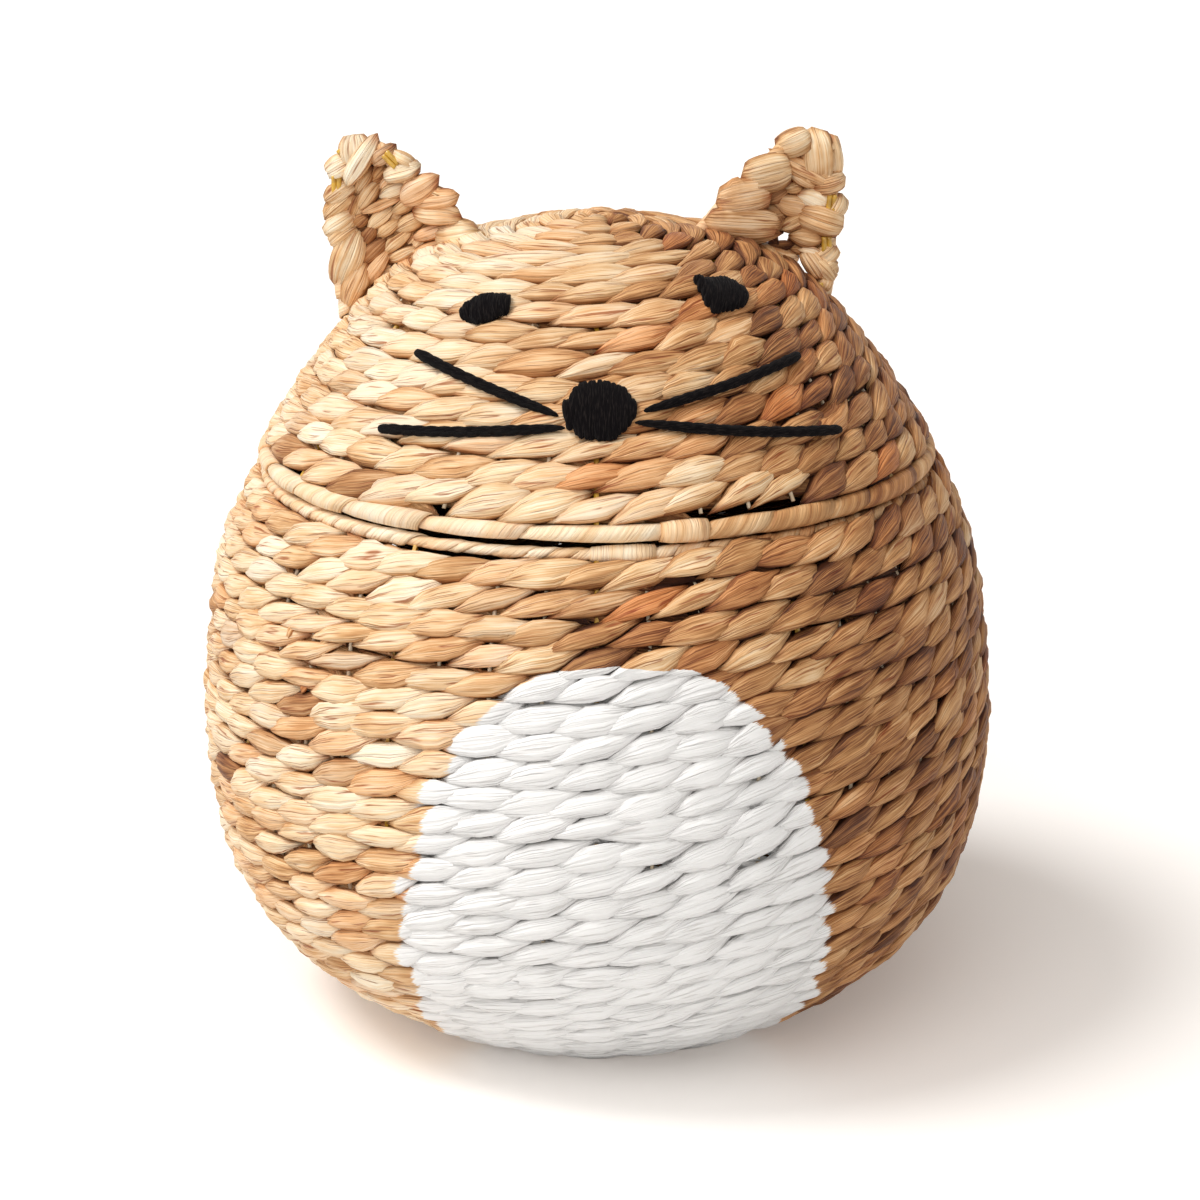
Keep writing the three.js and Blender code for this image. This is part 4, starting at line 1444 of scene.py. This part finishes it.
# Strands of an ear as the photograph shows them, in millimetres: across and up at one end and at the
# other, width, tone, hue, distance in front of the ear's middle, and half depth
LEFT_EAR_STRANDS = (
    (55.6, 148.8, 54.1, 132.2, 11.0, 0.12, 0.0, 1.0, 5.5),
    (44.8, 146.7, 57.8, 126.5, 7.4, 0.14, 0.0, 3.0, 4.0),
    (69.0, 128.6, 56.6, 136.5, 9.7, 0.12, 0.0, 1.0, 5.5),
    (45.7, 135.6, 36.3, 142.1, 7.7, 0.34, -1.0, 0.0, 5.5),
    (36.0, 139.0, 25.9, 134.4, 5.8, 0.22, 0.0, 0.0, 5.0),
    (40.1, 129.0, 23.7, 133.3, 9.0, 0.16, 0.0, 0.0, 6.0),
    (32.0, 118.7, 15.3, 127.4, 10.6, 0.26, 0.5, 0.0, 6.0),
    (18.5, 122.3, 10.3, 119.5, 5.8, 0.30, 0.0, 0.0, 5.0),
    (25.7, 115.9, 4.9, 119.7, 7.7, 0.34, 0.5, 0.0, 6.0),
    (26.4, 110.2, 3.4, 111.1, 9.0, 0.30, 0.3, 0.0, 6.0),
    (16.4, 98.8, -5.0, 104.6, 13.5, 0.24, 0.0, 0.0, 6.5),
    (4.3, 94.2, -7.9, 101.0, 7.7, 0.24, 0.0, 0.0, 6.0),
    (70.1, 114.9, 55.6, 126.0, 9.7, 0.40, -0.3, 0.0, 5.5),
    (70.6, 108.0, 57.0, 118.5, 7.7, 0.36, 0.0, 0.0, 5.5),
    (70.8, 100.4, 56.6, 109.1, 9.0, 0.24, 0.0, 0.0, 5.8),
    (68.4, 93.6, 56.1, 103.5, 8.4, 0.30, 0.0, 0.0, 6.0),
    (65.3, 76.0, 55.6, 99.1, 14.8, 0.28, 0.0, 0.5, 6.5),
    (52.1, 83.5, 60.4, 65.4, 9.7, 0.34, 0.2, 0.0, 5.5),
    (44.2, 118.9, 28.4, 124.5, 6.1, 0.20, 0.0, 3.0, 2.6),
    (52.1, 109.6, 33.3, 118.4, 4.8, 0.28, 0.4, 3.0, 2.6),
    (38.6, 109.2, 24.7, 118.4, 6.1, 0.36, 0.0, 2.4, 2.6),
    (36.8, 102.4, 20.0, 110.5, 7.1, 0.34, 0.0, 2.4, 2.6),
    (28.0, 97.1, 9.2, 105.9, 5.5, 0.20, 0.6, 3.0, 2.6),
    (31.4, 87.8, 11.3, 97.7, 5.5, 0.28, 0.3, 2.6, 2.6),
    (40.7, 85.9, 26.7, 94.0, 5.8, 0.36, 0.0, 2.4, 2.6),
    (42.6, 90.8, 29.2, 100.8, 5.8, 0.44, 0.0, 2.2, 2.6),
    (45.6, 98.3, 35.1, 107.4, 5.5, 0.50, 0.0, 2.0, 2.6),
    (49.7, 103.1, 37.9, 111.7, 6.1, 0.38, 0.0, 2.2, 2.6),
    (54.3, 111.1, 44.3, 125.8, 7.1, 0.46, -0.3, 1.8, 2.6),
    (55.4, 120.4, 47.4, 130.9, 5.5, 0.50, -0.3, 1.6, 2.6),
    (47.3, 126.9, 40.3, 134.2, 6.1, 0.52, -0.3, 1.6, 2.6),
    (44.1, 121.4, 37.2, 127.9, 5.8, 0.30, 0.5, 2.0, 2.4),
    (52.8, 95.1, 46.1, 103.9, 6.4, 0.60, -1.0, 1.6, 2.6),
    (56.3, 83.3, 41.4, 98.1, 8.1, 0.72, -1.0, 1.4, 2.6),
    (53.3, 74.0, 40.6, 90.3, 6.8, 0.38, 0.4, 2.0, 2.8),
    (56.8, 102.8, 49.9, 109.4, 5.8, 0.52, -0.5, 1.5, 2.4),
    (41.7, 115.3, 33.9, 118.1, 3.2, 0.60, 0.0, 1.0, 2.0),
    (32.1, 81.8, 21.7, 89.8, 7.1, 0.30, 0.6, 2.0, 2.8),
    (59.5, 105.0, 53.5, 121.0, 9.0, 0.50, -0.3, 0.2, 2.6),
)
RIGHT_EAR_STRANDS = (
    (54.9, 150.8, 57.8, 125.8, 13.0, 0.36, 0.0, 1.2, 5.0),
    (63.6, 147.6, 66.6, 126.8, 8.0, 0.3, 0.0, 0.0, 5.4),
    (38.0, 141.6, 53.0, 148.4, 10.5, 0.34, 0.0, 0.8, 5.0),
    (36.5, 138.6, 64.2, 125.3, 8.4, 0.46, 0.2, 5.0, 2.6),
    (42.9, 133.1, 58.5, 122.7, 6.8, 0.36, 0.2, 4.2, 2.6),
    (54.6, 122.8, 70.6, 127.2, 8.1, 0.34, 0.2, 3.0, 4.5),
    (20.5, 129.2, 43.5, 133.6, 15.0, 0.34, 0.0, 2.2, 4.3),
    (6.8, 117.6, 34.0, 120.6, 16.4, 0.30, 0.3, 2.6, 4.2),
    (2.0, 109.5, 38.3, 105.5, 12.0, 0.34, 0.2, 3.0, 4.0),
    (12.7, 111.9, 37.7, 102.2, 7.1, 0.36, 0.3, 4.0, 2.6),
    (3.9, 103.5, 38.4, 98.4, 9.3, 0.46, 0.2, 3.0, 3.0),
    (23.7, 94.8, 47.5, 87.6, 5.6, 0.50, 0.3, 1.5, 2.6),
    (38.0, 87.1, 49.6, 86.0, 8.4, 0.36, 0.3, 1.5, 3.0),
    (31.7, 114.9, 45.0, 123.1, 7.4, 0.66, -1.0, 1.4, 2.6),
    (37.5, 114.7, 54.9, 112.2, 9.7, 0.36, 0.3, 2.0, 2.8),
    (40.9, 103.0, 53.0, 108.5, 6.1, 0.46, 0.0, 2.0, 2.6),
    (34.5, 101.1, 42.1, 108.9, 6.4, 0.62, -1.0, 1.0, 2.4),
    (46.0, 100.4, 61.0, 96.4, 8.6, 0.46, -0.3, 2.4, 3.0),
    (50.0, 92.6, 60.6, 89.4, 4.2, 0.30, 0.2, 2.4, 2.6),
    (48.9, 120.5, 63.2, 113.1, 9.0, 0.18, 0.0, 2.6, 3.0),
    (49.1, 109.9, 70.2, 102.9, 12.2, 0.36, 0.1, 2.2, 5.5),
    (41.9, 120.8, 52.0, 123.5, 5.2, 0.50, 0.0, 1.4, 2.4),
    (64.6, 108.1, 70.5, 118.5, 7.1, 0.30, 0.0, 0.0, 6.0),
    (60.1, 108.3, 71.1, 106.6, 7.7, 0.34, 0.1, 0.5, 6.0),
    (58.0, 85.7, 67.6, 93.5, 7.7, 0.30, 0.0, 1.0, 5.6),
    (54.7, 89.0, 66.7, 76.5, 7.4, 0.36, 0.0, 1.6, 5.2),
    (52.6, 91.6, 60.4, 78.6, 7.6, 0.32, 0.2, 1.0, 5.0),
    (60.1, 81.2, 68.4, 85.9, 7.7, 0.34, 0.0, 0.0, 5.8),
    (61.0, 70.4, 64.7, 79.7, 7.1, 0.34, 0.2, 0.0, 5.2),
    (43.0, 139.0, 60.0, 132.0, 12.0, 0.40, 0.1, 0.0, 2.6),
)


@dataclass
class Ear:
    """One ear: strands wound over a bent wire, and a twined infill."""

    name: str
    mirror: int
    seed: int
    foot_offset: float
    foot_height: float
    strands: tuple[tuple[float, ...], ...]
    windows: tuple[Triple, ...]  # across, up and turn of bare stretches of wire
    holes: tuple[Triple, ...] = ()  # across, up and radius
    base: float = 284.3
    width: float = 62.0
    rise: float = 78.0
    foot_depth: float = 9.0
    yaw: float = math.radians(12)
    cup: float = 6.0
    border_radius: float = 6.5
    border_pitch: float = 11.0  # distance between two strips of the border
    fat: float = 3.9  # half depth from which a strand is one of the border's
    lining_climb: float = math.radians(26)
    lining_pitch: float = 8.5
    lining_space: float = 11.0  # distance between the strands of a row
    lining_foot: float = 42.0  # height under which the dome hides it
    margin: float = 5.0  # distance from the lining to the border's line and to the holes
    wire_front: float = 4.4  # how far the bare wires lie before the border's middle
    wire_radius: float = 1.35
    wire_apart: float = 1.25  # half the distance between the two
    wire_half_length: float = 4.2
    outline_shares: tuple[Point, ...] = (
        (0.0, 0.44), (0.16, 0.575), (0.46, 0.79), (0.7, 0.97), (0.92, 0.93), (1.03, 0.66), (1.03, 0.3),
        (1.0, -0.08),
    )

    def surface(self) -> EarSurface:
        """Gives the ear's hollow sheet."""
        return EarSurface(
            mirror=self.mirror,
            foot=(self.mirror * self.foot_offset, self.foot_depth, self.base),
            yaw=self.yaw,
            width=self.width,
            cup=self.cup,
        )

    def outline(self) -> list[Point]:
        """Gives the border's centre line as width and height."""
        return [(self.width * x, self.foot_height + self.rise * y) for x, y in self.outline_shares]

    def border(self, material: Material) -> None:
        """Makes the wound border.

        Args:
            material: Finish of its strips.
        """
        random = np.random.default_rng(self.seed)
        spine = EarSpine(self.surface(), self.outline())
        count = int(spine.length / self.border_pitch) + 1
        bands = Bands(
            station=np.linspace(2.0, spine.length - 5.0, count) + random.normal(0, 0.8, count),
            width=random.normal(15.0, 1.6, count),
            radius=self.border_radius - 3.7 + random.normal(0, 0.3, count),
            slant=self.mirror * random.normal(6.5, 2.2, count),
            lift=random.normal(1.0, 0.2, count),
            tone=0.36 + random.normal(0, 0.09, count),
            around=18,
            across=6,
            thickness=0.8,
            seed=self.seed,
        )
        piece = bands.make(spine, f"{self.name}_ear_wound_border", material)
        settle(piece, Body.LID, Slot.LID_STRANDS, f"{self.name}_ear_border")

    def laid(self, side: Side) -> Lobes:
        """Lays out the strands that the photograph shows, or for the back their like.

        Args:
            side: Front or back of the ear.

        Returns:
            One lobe for each strand.
        """
        random = np.random.default_rng(self.seed + side.value)
        rows = np.array(self.strands)
        if side is Side.INNER:
            rows = rows[rows[:, -1] < self.fat]
            rows[:, [1, 3]] = rows[:, [3, 1]]
        start_x, start_y, end_x, end_y, width, tone, hue, front, depth = rows.T
        count = len(rows)
        run, climb = self.mirror * (end_x - start_x), end_y - start_y
        middle_x, middle_y = (start_x + end_x) / 2, (start_y + end_y) / 2
        fat = depth > self.fat
        broad = fat & (self.mirror > 0)  # the right ear's strands are folded broader
        return Lobes(
            anchor=np.stack([middle_x, middle_y], axis=1),
            turn=np.arctan2(climb, run),
            half_length=0.5 * np.hypot(run, climb) * np.where(broad, 1.1, 1.2),
            half_width=0.5 * width * np.where(fat, 1.3, 1.24),
            half_depth=depth,
            out=side.value * (front + 0.4 + fat * self.surface().hollow(middle_x)),
            dive=side.value * np.where(fat, 1.6, 2.4)[:, None] * random.uniform(0.4, 1.6, (count, 2)),
            tone=tone + 0.07 + random.normal(0, 0.02, count),
            hue=hue,
            taper=np.where(broad, 0.27, np.where(fat, 0.46, 0.85)),
            bend=0.5 * width * np.where(fat, 0.3, 0.45) * random.choice((-1, 1), count) * ~broad,
        )

    def lining(self) -> Lobes:
        """Lays out the twined rows behind them, which climb towards the inner edge.

        Returns:
            The lobes of its front and of its back.
        """
        random = np.random.default_rng(self.seed + 5)
        outline = np.array(self.outline())
        parts = []
        for front in (1, -1):
            anchors = []
            for row in range(-3, 14):
                for step in range(-1, 8):
                    across = step * self.lining_space + (row % 2) * 0.4 * self.lining_space
                    height = self.foot_height + 4.0 + row * self.lining_pitch
                    height += (self.width - across) * math.tan(self.lining_climb)
                    if self._inside(outline, across, height):
                        anchors.append((across, height))
            count = len(anchors)
            parts.append(
                Lobes(
                    anchor=np.array(anchors) + random.normal(0, 0.4, (count, 2)),
                    turn=-self.mirror * self.lining_climb + front * 0.3 + random.normal(0, 0.1, count),
                    half_length=random.normal(10.0, 0.6, count),
                    half_width=random.normal(5.0, 0.3, count),
                    half_depth=random.normal(2.0, 0.15, count),
                    out=front * random.normal(0.4, 0.2, count),
                    dive=front * np.abs(random.normal(1.4, 0.3, (count, 2))),
                    tone=0.58 + random.normal(0, 0.08, count),
                    hue=random.normal(-0.3, 0.3, count),
                    taper=0.8,
                    bend=2.0 * self.mirror * front,
                )
            )
        return Lobes.joined(parts)

    def infill(self, material: Material) -> None:
        """Makes the strands inside and over the border.

        Args:
            material: Finish of the strands.
        """
        lobes = Lobes.joined([self.laid(Side.OUTER), self.laid(Side.INNER), self.lining()])
        shaper = LobeShaper(around=14, steps=10, lump=0.1, wobble=0.25, flatness=0.7, seed=self.seed + 6)
        piece = shaper.make(lobes, self.surface(), f"{self.name}_ear_strands", material)
        settle(piece, Body.LID, Slot.LID_STRANDS, f"{self.name}_ear_weave")

    def bare_wire(self, material: Material) -> None:
        """Makes the stretches of doubled wire that the strands leave bare.

        Args:
            material: Finish of the wire.
        """
        surface = self.surface()
        along, back = surface.axes()
        paths = []
        for across, height, turn in self.windows:
            middle = across * along + height * UP - self.wire_front * back + np.array(surface.foot)
            run = math.cos(turn) * along + math.sin(turn) * UP
            beside = -math.sin(turn) * along + math.cos(turn) * UP
            shares = np.linspace(-1, 1, 9)[:, None]
            for apart in (-self.wire_apart, self.wire_apart):
                paths.append(middle + apart * beside + self.wire_half_length * shares * run)
        piece = Rods(paths=paths, radius=self.wire_radius).make(f"{self.name}_ear_bare_wire", material)
        settle(piece, Body.LID, Slot.FRAME_WIRE)

    def _inside(self, outline: Array, across: float, height: float) -> bool:
        """Says whether a place lies inside the border's line by a margin and off the holes.

        Args:
            outline: Widths and heights of the border's line.
            across: Width of the place.
            height: Height of the place.

        Returns:
            Whether a strand of the lining can lie there.
        """
        crossings = 0
        closed = np.vstack([outline, [outline[-1][0], -100.0], [outline[0][0], -100.0], outline[0]])
        for (x0, y0), (x1, y1) in zip(closed, closed[1:]):
            if (y0 > height) != (y1 > height):
                crossings += across < x0 + (height - y0) / (y1 - y0) * (x1 - x0)
        share = np.linspace(0, 1, 9)[:, None, None]
        line = (outline[:-1] + (outline[1:] - outline[:-1]) * share).reshape(-1, 2)
        distances = np.hypot(line[:, 0] - across, line[:, 1] - height)
        clear = all(math.hypot(across - x, height - y) > radius + self.margin for x, y, radius in self.holes)
        above = height > self.lining_foot
        return crossings % 2 == 1 and float(distances.min()) > self.margin and above and clear

    def dress(self, finishes: Finishes) -> None:
        """Makes every piece of the ear."""
        self.border(finishes.wrap)
        self.infill(finishes.ear)
        self.bare_wire(finishes.wire)


@dataclass
class Face:
    """Face in black yarn on the front of the dome, with places to the side and up from the lid's hoop."""

    surface: TurnedSurface
    base: float = 284.3
    left_eye: tuple[Triple, ...] = (
        (-60.7, 83.9, 79.9), (-59.1, 86.2, 79.4), (-57.4, 87.4, 79.2), (-55.6, 88.3, 79.3),
        (-53.7, 89.0, 79.2), (-51.9, 89.5, 79.6), (-50.0, 90.0, 80.2), (-48.2, 90.2, 80.7),
        (-46.3, 90.2, 81.4), (-44.5, 90.2, 82.1), (-42.7, 90.4, 82.8), (-40.8, 90.5, 83.3),
        (-39.4, 90.1, 83.9),
    )
    right_eye: tuple[Triple, ...] = (
        (45.1, 94.9, 93.3), (46.7, 94.9, 90.9), (48.3, 94.9, 88.0), (49.9, 94.9, 85.4), (51.5, 94.9, 83.5),
        (53.3, 94.8, 83.0), (55.2, 94.7, 82.9), (57.1, 94.7, 83.1), (59.0, 94.3, 83.2), (60.9, 93.6, 83.4),
        (62.7, 92.9, 83.5), (64.6, 91.9, 83.6), (66.5, 90.7, 83.5), (67.6, 89.4, 83.9),
    )
    nose: tuple[Triple, ...] = (
        (-14.1, 52.9, 44.1), (-11.8, 56.4, 41.1), (-9.6, 58.4, 39.2), (-7.4, 59.2, 38.5),
        (-5.2, 59.9, 37.8), (-2.9, 60.0, 37.8), (-0.7, 60.4, 37.8), (1.5, 60.4, 37.4), (3.7, 60.0, 37.4),
        (5.9, 59.9, 37.4), (8.2, 59.1, 38.1), (10.4, 58.7, 39.2), (12.6, 57.6, 40.7), (14.8, 55.6, 42.6),
        (16.6, 52.9, 45.2),
    )
    stitch_radius: float = 2.4
    ply_radius: float = 2.25
    ply_apart: float = 0.4  # half the distance between the middles of the two plies
    ply_pitch: float = 13.0  # length in which they turn once round each other
    whisker_out: Point = (0.6, 1.5)  # distance of the whiskers' ends from the dome, and how much more between
    whiskers: tuple[tuple[str, Point, Point], ...] = (
        ("left_upper_whisker", (-17.0, 46.5), (-82.5, 65.0)),
        ("left_lower_whisker", (-14.0, 42.0), (-99.0, 33.5)),
        ("right_upper_whisker", (20.5, 48.0), (93.0, 62.0)),
        ("right_lower_whisker", (17.0, 44.0), (112.0, 30.5)),
    )

    def pad(self, node: str, columns: tuple[Triple, ...], material: Material) -> None:
        """Makes a pad of upright stitches side by side.

        Args:
            node: Node that it stands for.
            columns: For each stitch its place to the side, its top and its bottom above the hoop.
            material: Its finish.
        """
        name = f"{node}_stitches"
        random = np.random.default_rng(len(name))
        places = np.array(columns)
        count = len(places)
        centre = (places[0, 0] + places[-1, 0]) / 2
        sides = centre + (places[:, 0] - centre) * (1 - self.stitch_radius / (places[-1, 0] - places[0, 0]))
        top, bottom = (self.surface.arc_at_height(self.base + places[:, i]) for i in (1, 2))
        radius, _ = self.surface.section((top + bottom) / 2)
        high, low = (np.arcsin(sides / self.surface.section(arc)[0]) for arc in (top, bottom))
        lobes = Lobes(
            anchor=np.stack([(high + low) / 2, (top + bottom) / 2], axis=1),
            turn=np.arctan2(top - bottom, (high - low) * radius) + random.normal(0, 0.04, count),
            half_length=np.hypot(top - bottom, (high - low) * radius) / 2 + random.normal(0.2, 0.2, count),
            half_width=np.full(count, self.stitch_radius),
            half_depth=self.stitch_radius + random.normal(0, 0.1, count),
            out=2.1 + random.normal(0, 0.12, count),
            dive=np.full((count, 2), 1.6),
            tone=np.zeros(count),
            hue=np.zeros(count),
            taper=0.3,
        )
        shaper = LobeShaper(around=12, steps=12, lump=0.05, wobble=0.22, blunt=True, seed=len(name) + 300)
        piece = shaper.make(lobes, self.surface, name, material)
        settle(piece, Body.LID, Slot.BLACK_YARN, node)

    def on_dome(self, side: Array, height: Array, out: Array) -> Array:
        """Gives the points of the dome seen from the front at places to the side and up.

        Args:
            side: Distances to the right of the middle.
            height: Heights above the hoop.
            out: Distances out from the dome.

        Returns:
            The points in millimetres.
        """
        arc = self.surface.arc_at_height(self.base + height)
        surface_radius, _ = self.surface.section(arc)
        radius, level = self.surface.section(arc, out)
        return turned(radius, np.arcsin(side / surface_radius), level)

    def whisker(self, name: str, start: Point, end: Point, material: Material) -> None:
        """Makes a whisker of two plies laid along the dome.

        Args:
            name: Name of the node that it stands for.
            start: Place of its inner end.
            end: Place of its outer end.
            material: Its finish.
        """
        shares = np.linspace(0, 1, 57)
        side, height = (first + (last - first) * shares for first, last in zip(start, end))
        seated, rise = self.whisker_out
        line = self.on_dome(side, height, seated + rise * np.sqrt(1 - (2 * shares - 1) ** 6))
        tangent = unit(np.gradient(line, axis=0))
        across = unit(np.cross(tangent, line * (1.0, 1.0, 0.0) + 60.0 * UP))  # nearly the dome's outward side
        out = np.cross(across, tangent)
        length = float(np.linalg.norm(np.diff(line, axis=0), axis=1).sum())
        spin = FULL_TURN * shares * length / self.ply_pitch
        near = np.clip(np.minimum(shares / 0.3, (1 - shares) / 0.1), 0.0, 1.0)
        apart = self.ply_apart * np.sqrt(1 - (1 - near) ** 2)
        plies = [
            line
            + (apart * np.cos(spin + turn))[:, None] * across
            + (0.6 * apart * np.sin(spin + turn))[:, None] * out
            for turn in (0.0, math.pi)
        ]
        rods = Rods(paths=plies, radius=self.ply_radius, sides=10, tapers=(0.3, 0.07))
        settle(rods.make(name + "_yarn", material), Body.LID, Slot.BLACK_YARN, name)

    def dress(self, finishes: Finishes) -> None:
        """Makes the eyes, the nose and the whiskers.

        Args:
            finishes: The basket's finishes.
        """
        for node in ("left_eye", "right_eye", "nose"):
            self.pad(node, getattr(self, node), finishes.yarn)
        for name, start, end in self.whiskers:
            self.whisker(name, start, end, finishes.yarn)


@dataclass
class Studio:
    """Pale floor, soft light and the photograph's viewpoint."""

    aim: Triple = (1.5, 0.0, 203.0)
    elevation: float = math.radians(17.5)
    distance: float = 1500.0
    lens: float = 90.0
    floor_size: float = 20.0

    def build(self) -> None:
        """Sets the view, the camera, the lights, the world and the floor."""
        bpy.context.scene.view_settings.view_transform = "Standard"
        self._camera()
        self._sun("key_light", azimuth=-77, elevation=58, strength=1.95, spread=23)
        self._sun("front_light", azimuth=-22, elevation=42, strength=1.62, spread=60)
        self._world()
        self._floor()

    def _camera(self) -> None:
        """Adds the camera."""
        camera = bpy.data.objects.new("camera", bpy.data.cameras.new("camera"))
        back = Vector((0.0, -math.cos(self.elevation), math.sin(self.elevation)))
        camera.location = (Vector(self.aim) + back * self.distance) * MM
        camera.rotation_euler = back.to_track_quat("Z", "Y").to_euler()
        camera.data.lens = self.lens
        camera.data.sensor_width = 36.0
        camera.data.clip_end = 100.0
        bpy.context.scene.collection.objects.link(camera)
        bpy.context.scene.camera = camera

    def _sun(self, name: str, azimuth: float, elevation: float, strength: float, spread: float) -> None:
        """Adds a broad distant lamp.

        Args:
            name: Name of the lamp.
            azimuth: Degrees from the camera's side to the right.
            elevation: Degrees above level.
            strength: Strength of its light.
            spread: Angle in degrees that it fills, which softens its shadows.
        """
        data = bpy.data.lights.new(name, "SUN")
        data.energy = strength
        data.angle = math.radians(spread)
        data.color = (1.0, 0.985, 0.96)
        lamp = bpy.data.objects.new(name, data)
        turn, lift = math.radians(azimuth), math.radians(elevation)
        towards = Vector((math.sin(turn) * math.cos(lift), -math.cos(turn) * math.cos(lift), math.sin(lift)))
        lamp.rotation_euler = towards.to_track_quat("Z", "Y").to_euler()
        lamp.location = towards * 2
        bpy.context.scene.collection.objects.link(lamp)

    def _world(self) -> None:
        """Sets an even pale surround, white where the camera sees it."""
        world = bpy.data.worlds.new("studio")
        world.use_nodes = True
        world.node_tree.nodes.clear()
        seen, glossy, through = (
            add_node(world, "LightPath", output=ray)
            for ray in ("Is Camera Ray", "Is Glossy Ray", "Is Transmission Ray")
        )
        for ray in (glossy, through):
            seen = add_node(world, "Math", (seen, ray), operation="MAXIMUM")
        light = add_node(world, "Background", {"Color": linear("#f3f1ee"), "Strength": 0.27})
        white = add_node(world, "Background", {"Color": linear("#ffffff"), "Strength": 1.0})
        add_node(world, "OutputWorld", {"Surface": add_node(world, "MixShader", (seen, light, white))})
        bpy.context.scene.world = world

    def _floor(self) -> None:
        """Adds the floor."""
        shape = bmesh.new()
        bmesh.ops.create_grid(shape, x_segments=4, y_segments=4, size=self.floor_size / 2)
        mesh = bpy.data.meshes.new("floor")
        shape.to_mesh(mesh)
        shape.free()
        material, add = start_material("white_paper_floor")
        seen = add("LightPath", output="Is Camera Ray")
        paper = add("BsdfDiffuse", {"Color": linear("#f4f3f2")})
        glow = add("Emission", {"Color": linear("#fff0e4"), "Strength": 0.22})
        none = add("Emission", {"Strength": 0.0})
        lit = add("MixShader", (seen, none, glow))
        add("OutputMaterial", {"Surface": add("AddShader", (paper, lit))})
        mesh.materials.append(material)
        floor = bpy.data.objects.new("floor", mesh)
        bpy.context.scene.collection.objects.link(floor)


def ears() -> list[Ear]:
    """Gives the two ears, which the maker set a little unevenly.

    Returns:
        The left and the right one.
    """
    left = Ear(
        name="left",
        mirror=-1,
        seed=61,
        foot_offset=63.0,
        foot_height=66.3,
        strands=LEFT_EAR_STRANDS,
        windows=((58.6, 141.6, 2.40), (63.8, 124.5, 1.60), (36.2, 137.4, 0.75)),
    )
    right = Ear(
        name="right",
        mirror=1,
        seed=71,
        foot_offset=50.5,
        foot_height=68.8,
        strands=RIGHT_EAR_STRANDS,
        windows=((63.9, 115.3, 1.50), (62.1, 94.7, 1.60), (58.4, 72.1, 1.60)),
        holes=((44.2, 93.9, 3.5), (51.7, 75.2, 5.0)),
    )
    return [left, right]


def dress_wires(finishes: Finishes) -> None:
    """Gives the model's wires their lacquer."""
    for name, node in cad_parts.items():
        if "wire" in name or "stake" in name:
            node.data.materials.clear()
            node.data.materials.append(finishes.wire)


def main() -> None:
    """Builds the studio and dresses the model, sub-assembly by sub-assembly."""
    logging.basicConfig(level=logging.INFO, format="%(message)s")
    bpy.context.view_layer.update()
    Studio().build()
    finishes = Finishes()
    dress_wires(finishes)
    BasketBody().dress(finishes)
    lid = BasketLid()
    lid.dress(finishes)
    for ear in ears():
        ear.dress(finishes)
    Face(lid.surface()).dress(finishes)


if __name__ == "__main__":
    main()
